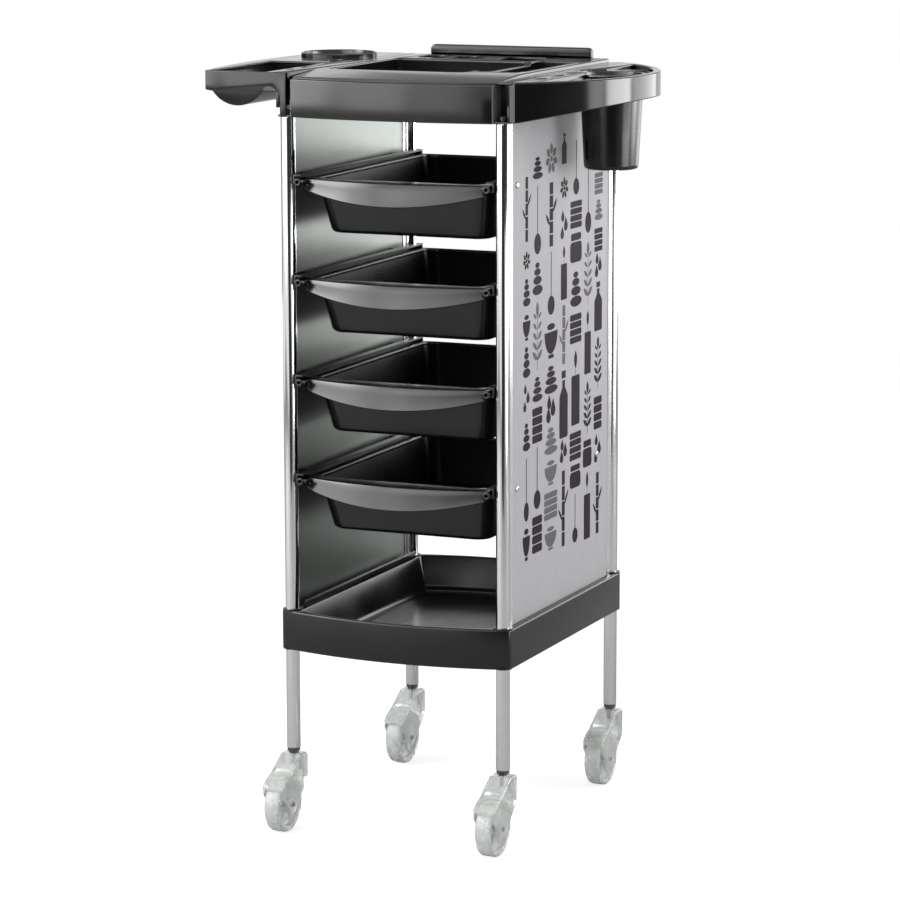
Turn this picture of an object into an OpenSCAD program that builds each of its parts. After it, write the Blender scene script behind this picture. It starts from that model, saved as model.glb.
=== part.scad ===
// Spa trolley cart: four tube posts on swivel casters carry a base tray, a top tray with
// two side wings, and four drawers that slide in runners between two sheet panels.
// Millimetres, +Z up, front toward -Y. The origin lies on the floor under the middle.

/* [Frame] */
// Height of the upper edge of the top frame above the floor
deck_h = 870; // [840:5:900]
// Distance between post axes, side to side
post_span_x = 264; // [250:2:280]
// Distance between post axes, front to back
post_span_y = 338; // [326:2:350]
// Outer diameter of a post tube
post_d = 16; // [15:0.5:17]
// Wall of a post tube
post_wall = 1.5; // [1.2:0.1:2]

/* [Base tray] */
// Height of the underside of the base tray
base_z = 211; // [180:1:230]
// Height of the skirt of the base tray
base_h = 46; // [40:1:50]
// How far the front and the rear of the base tray bow outward
base_bow = 22; // [16:1:28]
// Height of the rib that locates each panel on the base tray
upstand_h = 8; // [5:1:12]

/* [Top tray] */
// Height of the skirt of the top frame
frame_h = 43; // [40:1:48]
// How far the front and the rear of the top frame bow outward
frame_bow = 18; // [14:1:20]
// Height of the rim of the insert above the frame
insert_h = 7; // [5:0.5:8]
// Depth of the compartments in the insert
pocket_depth = 36; // [20:1:38]
// Height of the rail across the rear of the top
rail_h = 12; // [10:1:20]
// Length of the rail across the rear of the top
rail_len = 208; // [180:2:220]

/* [Panels] */
// Thickness of the sheet of a side panel
panel_t = 1.2; // [1:0.1:1.5]
// Width of the trim along the front and the rear edge of a panel
trim_w = 11; // [8:1:14]

/* [Drawers] */
// Drop from the frame's upper edge to the top of the first drawer
first_drop = 113; // [108:1:120]
// Vertical distance from one drawer to the next
drawer_pitch = 114.7; // [105:0.1:115]
// Depth of a drawer from its rim to its underside
drawer_h = 64; // [50:1:70]
// Height of the handle lip in the middle
lip_h = 26; // [20:1:30]
// Height of the handle lip at its ends
lip_end_h = 10; // [8:0.5:14]
// How far the handle lip bows forward
lip_bow = 20; // [12:1:24]
// Wall of a drawer
drawer_wall = 2.5; // [2:0.25:3]

/* [Wings] */
// Reach of the left wing beyond the side of the top frame
left_reach = 110; // [104:1:116]
// Reach of the right wing beyond the side of the top frame
right_reach = 100; // [98:1:112]
// Height of the left wing's plate above the frame's upper edge
left_rise = 7; // [5:0.5:8]
// Height of the right wing's rim above the frame's upper edge
right_rise = 3; // [3:0.5:5]
// Outer radius of the half-round trough in the left wing
trough_r = 38; // [34:1:39]
// Radius of the hole in the ring of the left wing
ring_r = 42; // [36:1:43]
// Depth of the ring of the left wing
ring_h = 20; // [16:1:26]

/* [Cup] */
// Radius of the cup just under its rim
cup_r = 37; // [33:0.5:38]
// Radius of the underside of the cup
cup_bottom_r = 31.5; // [26:0.5:32]
// Height of the cup
cup_h = 109; // [80:1:120]

/* [Casters] */
// Height of a caster from the floor to the end of the post
caster_h = 93; // [90:1:100]
// Diameter of a caster wheel over its tyre
wheel_d = 65; // [60:1:66]
// Width of a caster wheel
wheel_w = 20; // [17:1:22]
// Distance from the swivel axis back to the axle
trail = 30; // [28:1:33]
// Diameter of the axle
axle_d = 6; // [5:0.5:7]
// Diameter of the pin on which the caster swivels
pin_d = 8; // [7:0.5:9]

/* [Fits] */
// Radial running clearance of the wheels and of the swivels
running_fit = 0.05; // [0.02:0.01:0.1]
// Gap between pieces that move past each other
slide_gap = 0.4; // [0.3:0.05:0.6]
// Radial clearance of pieces that are pushed together
push_fit = 0.05; // [0.02:0.01:0.1]

/* [Hidden] */
$fn = 96;

// How far a cutter passes a face, and how far united solids sink into each other
over = 1;
sink = 0.1;

// Screws
screw_r = 2;
screw_head_r = 3.7;
screw_head_h = 2.4;
small_head_r = 3.1;
screw_grip = 8;

// Posts
px = post_span_x / 2;
py = post_span_y / 2;
post_r = post_d / 2;
post_bore_r = post_r - post_wall;
frame_z = deck_h - frame_h;
plug_drop = 42;
plug_z = frame_z - plug_drop;
plug_h = 12;
bolt_r = 2.5;
bolt_head_r = 4.2;
bolt_head_h = 4;
bolt_seat = 4;
head_fit = 0.2;

// Base tray
base_hx = px + 11;
base_hy = py + 6;
base_top = base_z + base_h;
base_wall = 3;
floor_z = base_z + base_wall;
bin_hx = px - post_r - 3;
bin_floor_hx = bin_hx - 9;
bin_hy = base_hy - 4;
base_screw_z = base_z + base_h / 2;
base_seat_x = post_r + 6;
base_access_r = 4.5;

// Top frame
frame_hx = px + 9;
frame_hy = py + 6;
frame_wall = 3;
groove_in = px - post_r;
groove_out = px - 1;
groove_depth = 10;
groove_floor = 2;
tab_t = 3;
tab_y = frame_hy - 1;
spigot_h = 27;
ledge_t = 4;
block_x = px - post_r - 5;
block_y = py - 12;

// Insert
insert_top = deck_h + insert_h;
insert_hx = px - 5.4;
insert_hy = frame_hy - 3;
insert_bow = frame_bow * 0.85;
plate_t = 3;
pocket_wall = 2;
pocket_z = insert_top - pocket_depth;
pocket_margin = 14;
divider_x = 58;
divider_half = 4;
divider_drop = 4;
front_pocket_inset = 66;
front_pocket_rear = 92;
side_pocket_inset = 91;
side_pocket_rear = 112;
rear_pocket_size = [46, 64];
rear_pocket_gap = [6, 5];
front_pocket = [-insert_hx + pocket_margin, -py + front_pocket_inset,
                divider_x - divider_half, front_pocket_rear];
side_pocket = [divider_x + divider_half, -py + side_pocket_inset,
               insert_hx - pocket_margin, side_pocket_rear];
rear_pocket = [rear_pocket_gap[0], py - rear_pocket_gap[1] - rear_pocket_size[1],
               rear_pocket_gap[0] + rear_pocket_size[0], py - rear_pocket_gap[1]];
slot_r = 12;
slot_half = 14;
slot_inset = 35;
slot_y = py - slot_inset;
slot_x = [-86, -44];

// Rear rail
rail_t = 10;
rail_y = py + 4;
rail_corner = 6;
rail_screw_x = [-80, 0, 80];
rail_grip = 7;

// Side panels, their trims and the runners' fastening
panel_out = px + 2.4;
panel_in = panel_out - panel_t;
panel_hy = py - post_r - 2;
panel_top = frame_z + 18;
trim_t = 1;
screw_y = [-py + 34, 112];
boss_r = 5;
screw_drop = 1;
web_bite = 1;

// Runners, placed by the height of each drawer's rim
function rim_z(i) = deck_h - first_drop - i * drawer_pitch;
web_out = px - post_r - 0.6;
web_t = 2;
flange_t = 2;
flange_w = 8;
tongue_t = 4;
head_room = 3;
runner_front = -py - 6;
runner_rear = py - 4;
stop_t = 2;
hook_r = 4;
hook_len = 5;

// Drawers
tongue_hx = web_out - web_t - slide_gap;
lip_hx = web_out - web_t - flange_w - slide_gap;
lip_y = -py + 3;
lip_t = 3;
drawer_rear = runner_rear - stop_t - slide_gap;
tongue_front = -py + 14;
bin_top_hx = lip_hx - 3;
bin_low_hx = bin_top_hx - 11;
bin_front = -py + 14;
bin_low_front = bin_front + 18;
bin_low_rear = drawer_rear - 12;

// Wings
wing_hy = tab_y + tab_t;
left_x = frame_hx + left_reach;
right_x = frame_hx + right_reach;
left_top = deck_h + left_rise;
right_top = deck_h + right_rise;
wing_wall = 3;
wing_flange_x = insert_hx + slide_gap;
left_skirt = 22;
left_sag = 18;
left_mid = 51;
left_mid_x = frame_hx + left_mid;
trough_rear = -8;
trough_z = left_top - 1;
trough_bore_r = trough_r - 2.5;
ring_y = 96;
ring_wall = 3.5;
ring_rise = 5;
foot_z = frame_z + 1;
fillet_r = 12;
fillet_z = foot_z + 21;
fillet_x = frame_hx + fillet_r;
left_holes = [[frame_hx + 8.2, -128, 4], [frame_hx + 8.2, -92, 4], [frame_hx + 26, 32, 11]];
right_holes = [[frame_hx + 12, -112, 7], [frame_hx + 12, -56, 6], [frame_hx + 12, -12, 8]];
tool_ring_reach = 44;
tool_ring = [frame_hx + tool_ring_reach, 90, 18];
recess_drop = 5;
recess_x = frame_hx + 24;
recess_rim = 9;
skirt_flat = 8;
skirt_lift = 18;
hollow_gap = 11;
wing_screw_y = [-110, 0, 110];
wing_screw_z = deck_h - 14;
wing_boss_r = 4.5;

// Cup
cup_reach = 43.5;
cup_x = frame_hx + cup_reach;
cup_y = 27;
cup_wall = 2;
cup_round = 4;
cup_rim_r = cup_r + 3;
cup_rim_t = 2.5;
cup_seat = right_top - recess_drop + slide_gap;
cup_top = cup_seat + cup_rim_t;

// Casters
wheel_r = wheel_d / 2;
axle_z = wheel_r;
tyre_t = 4.5;
tyre_side = 0.5;
tyre_round = tyre_t * 0.45;
rim_r = wheel_r - tyre_t;
hub_r = 9;
web_half = 2;
rim_t = 4;
rim_side = 1;
wheel_gap = 0.8;
hood_wall = 2.4;
hood_w = wheel_w + 2 * (wheel_gap + hood_wall);
hood_r = wheel_r + 5;
hood_bore_r = wheel_r + 2;
hood_boss_r = 11;
hood_boss_h = 23;
hood_top = caster_h - 6.5;
cheek_r = axle_d / 2 + 4;
heel_rise = 22;
collar_h = 4;
collar_r = post_r - 0.6;
neck_r = 5.6;
neck_h = 2;
stem_len = 32;
pin_depth = 20;
axle_len = hood_w + 1.6;

// The wings set the width, the front casters and the rear skirt the length.
middle_x = (left_reach - right_reach) / 2;
front_reach = py + trail + wheel_r;
rear_reach = base_hy + base_bow;
middle_y = (front_reach - rear_reach) / 2;

// Puts its children, drawn about the axis between the posts, about the middle of the cart
module placed() {
    translate([middle_x, middle_y, 0]) children();
}

// Rectangle whose front and rear edges bow outward as arcs
module bowed(hx, hy, bow) {
    r = (hx * hx + bow * bow) / (2 * bow);
    intersection() {
        translate([-hx, -hy - bow]) square([2 * hx, 2 * (hy + bow)]);
        translate([0, r - hy - bow]) circle(r = r);
        translate([0, hy + bow - r]) circle(r = r);
    }
}

// Extrudes a shape drawn in x and z along y, from y0 to y1
module along_y(y0, y1) {
    translate([0, y1, 0]) rotate([90, 0, 0]) linear_extrude(y1 - y0) children();
}

// Extrudes a shape drawn in y and z along x, from x0 to x1
module along_x(x0, x1) {
    translate([x0, 0, 0]) rotate([90, 0, 90]) linear_extrude(x1 - x0) children();
}

// Cylinder along x from x0 to x1
module rod_x(x0, x1, r) {
    translate([x0, 0, 0]) rotate([0, 90, 0]) cylinder(r = r, h = x1 - x0);
}

// Box between two opposite corners
module box(a, b) {
    translate(a) cube(b - a);
}

// Mirrors a right-hand piece to the left when side is -1
module handed(side) {
    mirror([side < 0 ? 1 : 0, 0, 0]) children();
}

// Post tube, with the hole for the screw that holds the base tray
module post(side, end) {
    color("silver") placed() handed(side) translate([px, end * py, 0]) difference() {
        translate([0, 0, caster_h]) cylinder(r = post_r, h = frame_z - caster_h);
        translate([0, 0, caster_h - over])
            cylinder(r = post_bore_r, h = frame_z - caster_h + 2 * over);
        translate([0, 0, base_screw_z]) rod_x(-post_d, 0, screw_r + push_fit);
    }
}

// Threaded plugs in the posts, which take the bolts of the top frame
module post_plugs() {
    color("dimgray") placed() for (side = [-1, 1], end = [-1, 1])
        translate([side * px, end * py, plug_z]) difference() {
            cylinder(r = post_bore_r - push_fit, h = plug_h);
            translate([0, 0, -over]) cylinder(r = bolt_r, h = plug_h + 2 * over);
        }
}

// Bolts that clamp the top frame to the plugs in the posts
module post_bolts() {
    color("gray") placed() for (side = [-1, 1], end = [-1, 1])
        translate([side * px, end * py, 0]) {
            translate([0, 0, plug_z]) cylinder(r = bolt_r, h = frame_z + bolt_seat - plug_z);
            translate([0, 0, frame_z + bolt_seat]) cylinder(r = bolt_head_r, h = bolt_head_h);
        }
}

// Base tray: bowed skirt, deep bin, sockets for the posts and ribs for the panels
module base_tray() {
    rib_top = base_top + upstand_h;
    bin_shape = [[-bin_floor_hx, floor_z], [bin_floor_hx, floor_z],
                 [bin_hx, rib_top + over], [-bin_hx, rib_top + over]];
    ledge_shape = [[bin_floor_hx + base_wall, base_z - over], [base_hx - base_wall, base_z - over],
                   [base_hx - base_wall, base_top - base_wall],
                   [bin_hx + base_wall, base_top - base_wall]];
    color("#262826") placed() difference() {
        union() {
            translate([0, 0, base_z]) linear_extrude(base_h) bowed(base_hx, base_hy, base_bow);
            for (side = [-1, 1])
                handed(side) box([bin_hx, -block_y, base_top], [bin_hx + base_wall, block_y, rib_top]);
        }
        intersection() {
            along_y(-base_hy - base_bow, base_hy + base_bow) polygon(bin_shape);
            translate([0, 0, base_z]) linear_extrude(base_h + upstand_h + over)
                bowed(bin_hx, bin_hy, base_bow);
        }
        for (side = [-1, 1]) handed(side) {
            along_y(-block_y, block_y) polygon(ledge_shape);
            for (end = [-1, 1]) translate([px, end * py, 0]) {
                translate([0, 0, base_z - over]) cylinder(r = post_r + push_fit, h = base_h + 2 * over);
                translate([0, 0, base_screw_z]) {
                    rod_x(-post_d, 0, screw_r);
                    rod_x(-2 * post_d, -base_seat_x, base_access_r);
                }
            }
        }
    }
}

// Screws that hold the base tray to the posts
module base_screws() {
    color("gray") placed() for (side = [-1, 1], end = [-1, 1])
        handed(side) translate([px, end * py, base_screw_z]) {
            rod_x(-base_seat_x, -post_bore_r / 2, screw_r);
            rod_x(-base_seat_x - screw_head_h, -base_seat_x, screw_head_r);
        }
}

// Top frame: bowed skirt with corner blocks, grooves, spigots and channels for the panels
module top_frame() {
    color("#2c2e2c") placed() difference() {
        union() {
            translate([0, 0, frame_z]) linear_extrude(frame_h) difference() {
                bowed(frame_hx, frame_hy, frame_bow);
                bowed(frame_hx - frame_wall, frame_hy - frame_wall, frame_bow);
            }
            translate([0, 0, frame_z]) linear_extrude(frame_h) intersection() {
                bowed(frame_hx, frame_hy, frame_bow);
                for (side = [-1, 1], end = [-1, 1]) mirror([0, end > 0 ? 1 : 0, 0]) handed(side)
                    translate([block_x, block_y])
                        square([frame_hx - block_x, frame_hy + frame_bow - block_y]);
            }
            for (side = [-1, 1]) handed(side) {
                box([panel_out + push_fit, -block_y, frame_z], [frame_hx, block_y, frame_z + ledge_t]);
                box([panel_in - push_fit - frame_wall, -block_y - sink, frame_z],
                    [panel_in - push_fit, block_y + sink, deck_h]);
                for (end = [-1, 1]) translate([px, end * py, frame_z - spigot_h])
                    cylinder(r = post_bore_r - push_fit, h = spigot_h + groove_floor);
            }
        }
        for (side = [-1, 1], end = [-1, 1]) mirror([0, end > 0 ? 1 : 0, 0]) handed(side) {
            box([groove_in, -frame_hy - frame_bow, frame_z + groove_floor],
                [groove_out, -py - post_r + groove_depth, deck_h + over]);
            box([groove_out - sink, -frame_hy - frame_bow, frame_z - over],
                [frame_hx + over, -tab_y, deck_h + over]);
            translate([px, -py, frame_z - spigot_h - over])
                cylinder(r = bolt_r + push_fit, h = frame_h + spigot_h);
            translate([px, -py, frame_z + bolt_seat]) cylinder(r = bolt_head_r + head_fit, h = frame_h);
            box([panel_in - push_fit, -panel_hy - over, frame_z - over],
                [panel_out + push_fit, 0, panel_top + slide_gap]);
        }
        for (side = [-1, 1], y = wing_screw_y) handed(side) translate([0, y, wing_screw_z]) {
            rod_x(frame_hx - frame_wall - over, frame_hx + over, screw_r + push_fit);
            rod_x(groove_in, panel_in, small_head_r + head_fit);
        }
    }
}

// Outline of a pocket of the insert, given as [x0, y0, x1, y1] and grown by g
module pocket(p, g) {
    translate([p[0] - g, p[1] - g]) square([p[2] - p[0] + 2 * g, p[3] - p[1] + 2 * g]);
}

// Outline of the long hole of the insert at x
module long_hole(x) {
    for (y = [-slot_half, slot_half]) translate([x, slot_y + y]) circle(r = slot_r);
    translate([x - slot_r, slot_y - slot_half]) square([2 * slot_r, 2 * slot_half]);
}

// Insert of the top tray, with its compartments and long holes
module top_insert() {
    pockets = [front_pocket, side_pocket, rear_pocket];
    color("#333533") placed() difference() {
        union() {
            translate([0, 0, insert_top - plate_t]) linear_extrude(plate_t)
                bowed(insert_hx, insert_hy, insert_bow);
            translate([0, 0, deck_h]) linear_extrude(insert_h) difference() {
                bowed(insert_hx, insert_hy, insert_bow);
                bowed(insert_hx - plate_t, insert_hy - plate_t, insert_bow);
            }
            translate([0, 0, pocket_z - pocket_wall]) linear_extrude(pocket_depth)
                for (p = pockets) pocket(p, pocket_wall);
        }
        translate([0, 0, pocket_z]) linear_extrude(pocket_depth + over) for (p = pockets) pocket(p, 0);
        box([front_pocket[2] - over, side_pocket[1], insert_top - divider_drop],
            [side_pocket[0] + over, front_pocket[3], insert_top + over]);
        for (x = slot_x) translate([0, 0, deck_h - over]) linear_extrude(insert_h + 2 * over)
            long_hole(x);
        for (x = rail_screw_x) translate([x, rail_y, deck_h - over])
            cylinder(r = screw_r + push_fit, h = insert_h + 2 * over);
    }
}

// Rail across the rear of the top, with rounded ends
module back_rail() {
    half = rail_len / 2;
    color("#3a3c3a") placed() difference() {
        along_y(rail_y - rail_t / 2, rail_y + rail_t / 2) {
            for (x = [rail_corner - half, half - rail_corner])
                translate([x, insert_top + rail_h - rail_corner]) circle(r = rail_corner);
            translate([-half, insert_top]) square([rail_len, rail_h - rail_corner]);
            translate([rail_corner - half, insert_top]) square([rail_len - 2 * rail_corner, rail_h]);
        }
        for (x = rail_screw_x) translate([x, rail_y, insert_top - over])
            cylinder(r = screw_r, h = rail_grip + 2 * over);
    }
}

// Screws that hold the rail from below
module rail_screws() {
    color("gray") placed() for (x = rail_screw_x) translate([x, rail_y, 0]) {
        translate([0, 0, insert_top - plate_t]) cylinder(r = screw_r, h = plate_t + rail_grip);
        translate([0, 0, insert_top - plate_t - screw_head_h])
            cylinder(r = screw_head_r, h = screw_head_h);
    }
}

// Side panel: a sheet with studs for the two middle runners and holes for the other screws
module side_panel(side) {
    color("gainsboro") placed() handed(side) difference() {
        union() {
            box([panel_in, -panel_hy, base_top], [panel_out, panel_hy, panel_top]);
            for (i = [1, 2], y = screw_y) translate([0, y, rim_z(i) - screw_drop])
                rod_x(web_out + web_bite, panel_in + sink, screw_r);
        }
        for (i = [0, 3], y = screw_y) translate([0, y, rim_z(i) - screw_drop])
            rod_x(panel_in - over, panel_out + over, screw_r + push_fit);
    }
}

// Bright channel trim over the front or the rear edge of a panel
module edge_trim(side, end) {
    color("white") placed() handed(side) mirror([0, end > 0 ? 1 : 0, 0])
        translate([0, 0, base_top]) linear_extrude(frame_z - base_top) difference() {
            translate([panel_in - trim_t, -panel_hy - trim_t])
                square([panel_t + 2 * trim_t, trim_w]);
            translate([panel_in, -panel_hy]) square([panel_t, trim_w]);
        }
}

// Screws through a panel into its first and last runner
module runner_screws(side) {
    color("gray") placed() handed(side) for (i = [0, 3], y = screw_y)
        translate([0, y, rim_z(i) - screw_drop]) {
            rod_x(web_out + web_bite, panel_out, screw_r);
            rod_x(panel_out, panel_out + screw_head_h, screw_head_r);
        }
}

// Runner: a channel that opens inward, on bosses that reach the panel, with a hooked end
module runner(side, i) {
    low = rim_z(i) - tongue_t - slide_gap - flange_t;
    high = rim_z(i) + head_room + flange_t;
    color("#1e201e") placed() handed(side) {
        difference() {
            union() {
                box([web_out - web_t - flange_w, runner_front, low], [web_out, runner_rear, high]);
                for (y = screw_y) translate([0, y, rim_z(i) - screw_drop])
                    rod_x(web_out - sink, panel_in, boss_r);
            }
            box([web_out - web_t - flange_w - over, runner_front - over, low + flange_t],
                [web_out - web_t, runner_rear - stop_t, high - flange_t]);
            for (y = screw_y) translate([0, y, rim_z(i) - screw_drop])
                rod_x(web_out + web_bite, panel_in + over, screw_r);
        }
        along_y(runner_front, runner_front + hook_len)
            translate([web_out - hook_r, low - hook_r + flange_t / 2]) circle(r = hook_r);
    }
}

// Solid of a drawer's bin, with every wall moved inward by g
module bin_solid(z, g) {
    low = z - drawer_h + g;
    intersection() {
        along_y(bin_front + g, drawer_rear - g) polygon([
            [-bin_low_hx + g, low], [bin_low_hx - g, low],
            [bin_top_hx - g, z + g], [-bin_top_hx + g, z + g]]);
        along_x(-bin_top_hx, bin_top_hx) polygon([
            [bin_low_front + g, low], [bin_low_rear - g, low],
            [drawer_rear - g, z + g], [bin_front + g, z + g]]);
    }
}

// Drawer: a bin with tapered walls, tongues for the runners and a smiling handle lip
module drawer(i) {
    z = rim_z(i);
    plan_r = (lip_hx * lip_hx + lip_bow * lip_bow) / (2 * lip_bow);
    smile = lip_h - lip_end_h;
    smile_r = (lip_hx * lip_hx + smile * smile) / (2 * smile);
    color("#303230") placed() difference() {
        union() {
            bin_solid(z, 0);
            box([-tongue_hx, tongue_front, z - tongue_t], [tongue_hx, drawer_rear, z]);
            intersection() {
                translate([0, 0, z - lip_h]) linear_extrude(lip_h) difference() {
                    translate([0, lip_y - lip_bow + plan_r]) circle(r = plan_r);
                    translate([0, lip_y - lip_bow + plan_r]) circle(r = plan_r - lip_t);
                }
                along_y(lip_y - lip_bow - over, bin_front) intersection() {
                    translate([-lip_hx, z - lip_h]) square([2 * lip_hx, lip_h]);
                    translate([0, z - lip_h + smile_r]) circle(r = smile_r);
                }
            }
            intersection() {
                translate([0, 0, z - lip_t]) linear_extrude(lip_t)
                    translate([0, lip_y - lip_bow + plan_r]) circle(r = plan_r);
                box([-lip_hx, lip_y - lip_bow - over, z - lip_t], [lip_hx, tongue_front + sink, z]);
            }
        }
        bin_solid(z, drawer_wall);
        box([-bin_top_hx + drawer_wall, bin_front + drawer_wall, z - sink],
            [bin_top_hx - drawer_wall, drawer_rear - drawer_wall, z + over]);
    }
}

// Outline of the left wing's plate, moved inward by g, drawn on the right-hand side
module left_outline(g) {
    r = (wing_hy * wing_hy + left_sag * left_sag) / (2 * left_sag);
    intersection() {
        translate([frame_hx + g, -wing_hy + g]) square([left_reach - g, 2 * (wing_hy - g)]);
        translate([left_x - r, 0]) circle(r = r - g);
    }
}

// Foot of a wing's end wall, which reaches down beside the frame's corner
module wing_foot(top) {
    difference() {
        union() {
            translate([groove_out, foot_z]) square([frame_hx - groove_out, top - foot_z]);
            translate([frame_hx - sink, fillet_z - fillet_r])
                square([fillet_r, top - fillet_z + fillet_r]);
        }
        translate([fillet_x, fillet_z - fillet_r]) circle(r = fillet_r);
    }
}

// Bosses on a wing's root wall, with the holes for its screws
module wing_bosses() {
    for (y = wing_screw_y) translate([0, y, wing_screw_z])
        rod_x(frame_hx, frame_hx + screw_grip + over, wing_boss_r);
}

// Holes in the bosses of a wing
module wing_boss_holes() {
    for (y = wing_screw_y) translate([0, y, wing_screw_z])
        rod_x(frame_hx - over, frame_hx + screw_grip, screw_r);
}

// Left wing: a plate with a half-round trough, a ring and three tool holes
module left_wing() {
    color("#3a3c3a") placed() handed(-1) difference() {
        union() {
            translate([0, 0, left_top - left_skirt]) linear_extrude(left_skirt) difference() {
                left_outline(0);
                left_outline(wing_wall);
            }
            translate([0, 0, left_top - wing_wall]) linear_extrude(wing_wall) left_outline(0);
            box([frame_hx, -tab_y, fillet_z - fillet_r], [frame_hx + wing_wall, tab_y, left_top]);
            box([wing_flange_x, -tab_y, deck_h], [frame_hx + sink, tab_y, left_top]);
            for (end = [-1, 1]) mirror([0, end > 0 ? 1 : 0, 0])
                along_y(-wing_hy, -tab_y) wing_foot(left_top);
            intersection() {
                along_y(-wing_hy, trough_rear) translate([left_mid_x, trough_z]) circle(r = trough_r);
                box([frame_hx, -wing_hy, trough_z - trough_r], [left_x, trough_rear, left_top]);
            }
            translate([left_mid_x, ring_y, left_top + ring_rise - ring_h])
                cylinder(r = ring_r + ring_wall, h = ring_h);
            wing_bosses();
        }
        along_y(-wing_hy + wing_wall, trough_rear - wing_wall)
            translate([left_mid_x, trough_z]) circle(r = trough_bore_r);
        translate([left_mid_x, ring_y, left_top + ring_rise - ring_h - over])
            cylinder(r = ring_r, h = ring_h + 2 * over);
        for (h = left_holes) translate([h[0], h[1], left_top - wing_wall - over])
            cylinder(r = h[2], h = wing_wall + 2 * over);
        wing_boss_holes();
    }
}

// Outline of the right wing, moved inward by g
module right_outline(g) {
    r = (wing_hy * wing_hy + right_reach * right_reach) / (2 * right_reach);
    intersection() {
        translate([frame_hx + g, -wing_hy + g]) square([right_reach - g, 2 * (wing_hy - g)]);
        translate([right_x - r, 0]) circle(r = r - g);
    }
}

// Right wing: a half-round tray with a recessed floor that holds the cup
module right_wing() {
    skirt_top = right_top - recess_drop - wing_wall;
    hollow_x = [frame_hx + wing_wall, recess_x - wing_wall];
    hollow_y = [-tab_y + wing_wall, cup_y - cup_rim_r - hollow_gap,
                cup_y + cup_rim_r + hollow_gap, tab_y - wing_wall];
    color("#454745") placed() difference() {
        union() {
            intersection() {
                translate([0, 0, foot_z]) linear_extrude(right_top - foot_z) difference() {
                    right_outline(0);
                    right_outline(wing_wall);
                }
                along_y(-wing_hy, wing_hy) polygon([
                    [frame_hx, foot_z], [frame_hx + skirt_flat, foot_z], [right_x, foot_z + skirt_lift],
                    [right_x, right_top], [frame_hx, right_top]]);
            }
            translate([0, 0, skirt_top]) linear_extrude(right_top - skirt_top) right_outline(0);
            box([frame_hx, -tab_y, fillet_z - fillet_r], [frame_hx + wing_wall, tab_y, right_top]);
            box([wing_flange_x, -tab_y, deck_h], [frame_hx + sink, tab_y, right_top]);
            wing_bosses();
        }
        translate([0, 0, right_top - recess_drop]) linear_extrude(recess_drop + over) {
            intersection() {
                right_outline(recess_rim);
                translate([recess_x, -wing_hy]) square([right_reach, 2 * wing_hy]);
            }
            translate([cup_x, cup_y]) circle(r = cup_rim_r + slide_gap);
        }
        translate([0, 0, skirt_top - over])
            linear_extrude(right_top - skirt_top - wing_wall + over) intersection() {
                right_outline(wing_wall);
                for (k = [0, 2]) translate([hollow_x[0], hollow_y[k]])
                    square([hollow_x[1] - hollow_x[0], hollow_y[k + 1] - hollow_y[k]]);
            }
        translate([cup_x, cup_y, skirt_top - over])
            cylinder(r = cup_r + slide_gap, h = recess_drop + wing_wall);
        for (h = concat(right_holes, [tool_ring])) translate([h[0], h[1], skirt_top - over])
            cylinder(r = h[2], h = right_top - skirt_top + 2 * over);
        wing_boss_holes();
    }
}

// Screws that hold both wings to the sides of the frame
module wing_screws() {
    color("gray") placed() for (side = [-1, 1], y = wing_screw_y)
        handed(side) translate([0, y, wing_screw_z]) {
            rod_x(frame_hx - frame_wall, frame_hx + screw_grip, screw_r);
            rod_x(frame_hx - frame_wall - screw_head_h, frame_hx - frame_wall, small_head_r);
        }
}

// Cup that hangs by its rim in the right wing and lifts out
module cup() {
    rim_low = cup_top - cup_rim_t;
    low = cup_top - cup_h;
    floor_r = cup_bottom_r - cup_wall;
    color("#2c2e2c") placed() translate([cup_x, cup_y, 0]) rotate_extrude() polygon([
        [0, low], [cup_bottom_r - cup_round, low], [cup_bottom_r, low + cup_round], [cup_r, rim_low],
        [cup_rim_r, rim_low], [cup_rim_r, cup_top], [cup_r - cup_wall, cup_top],
        [floor_r, low + cup_round + over], [floor_r - cup_wall, low + cup_wall], [0, low + cup_wall]]);
}

// Moves a caster's children, drawn about the swivel axis, under its post
module at_caster(side, end) {
    placed() translate([side * px, end * py, 0]) children();
}

// Stem of a caster: a plug in the post, a collar and the pin for the swivel
module caster_stem(side, end) {
    color("slategray") at_caster(side, end) {
        translate([0, 0, caster_h - sink]) cylinder(r = post_bore_r - push_fit, h = stem_len);
        translate([0, 0, caster_h - collar_h]) cylinder(r = collar_r, h = collar_h);
        translate([0, 0, caster_h - collar_h - neck_h]) cylinder(r = neck_r, h = neck_h + sink);
        translate([0, 0, hood_top - pin_depth]) cylinder(r = pin_d / 2, h = caster_h - hood_top + pin_depth);
    }
}

// Side view of the hood: a cap over the wheel, a neck to the boss and cheeks to the axle
module hood_side() {
    reach = trail + hood_boss_r;
    top = hood_top - axle_z;
    corner = 3;
    brow = hood_r * 0.75;
    translate([-trail, axle_z]) intersection() {
        union() {
            circle(r = hood_r);
            polygon([[0, 0], [reach, heel_rise], [reach, top - corner], [reach - corner, top],
                     [reach - 2 * hood_boss_r + corner, top], [-hood_r / 4, hood_r - corner]]);
        }
        polygon([[-cheek_r / 2, -cheek_r], [cheek_r / 2, -cheek_r], [cheek_r, -cheek_r / 2],
                 [reach, heel_rise], [reach, top], [-brow, top], [-brow, brow],
                 [-cheek_r, -cheek_r / 4]]);
    }
}

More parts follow.
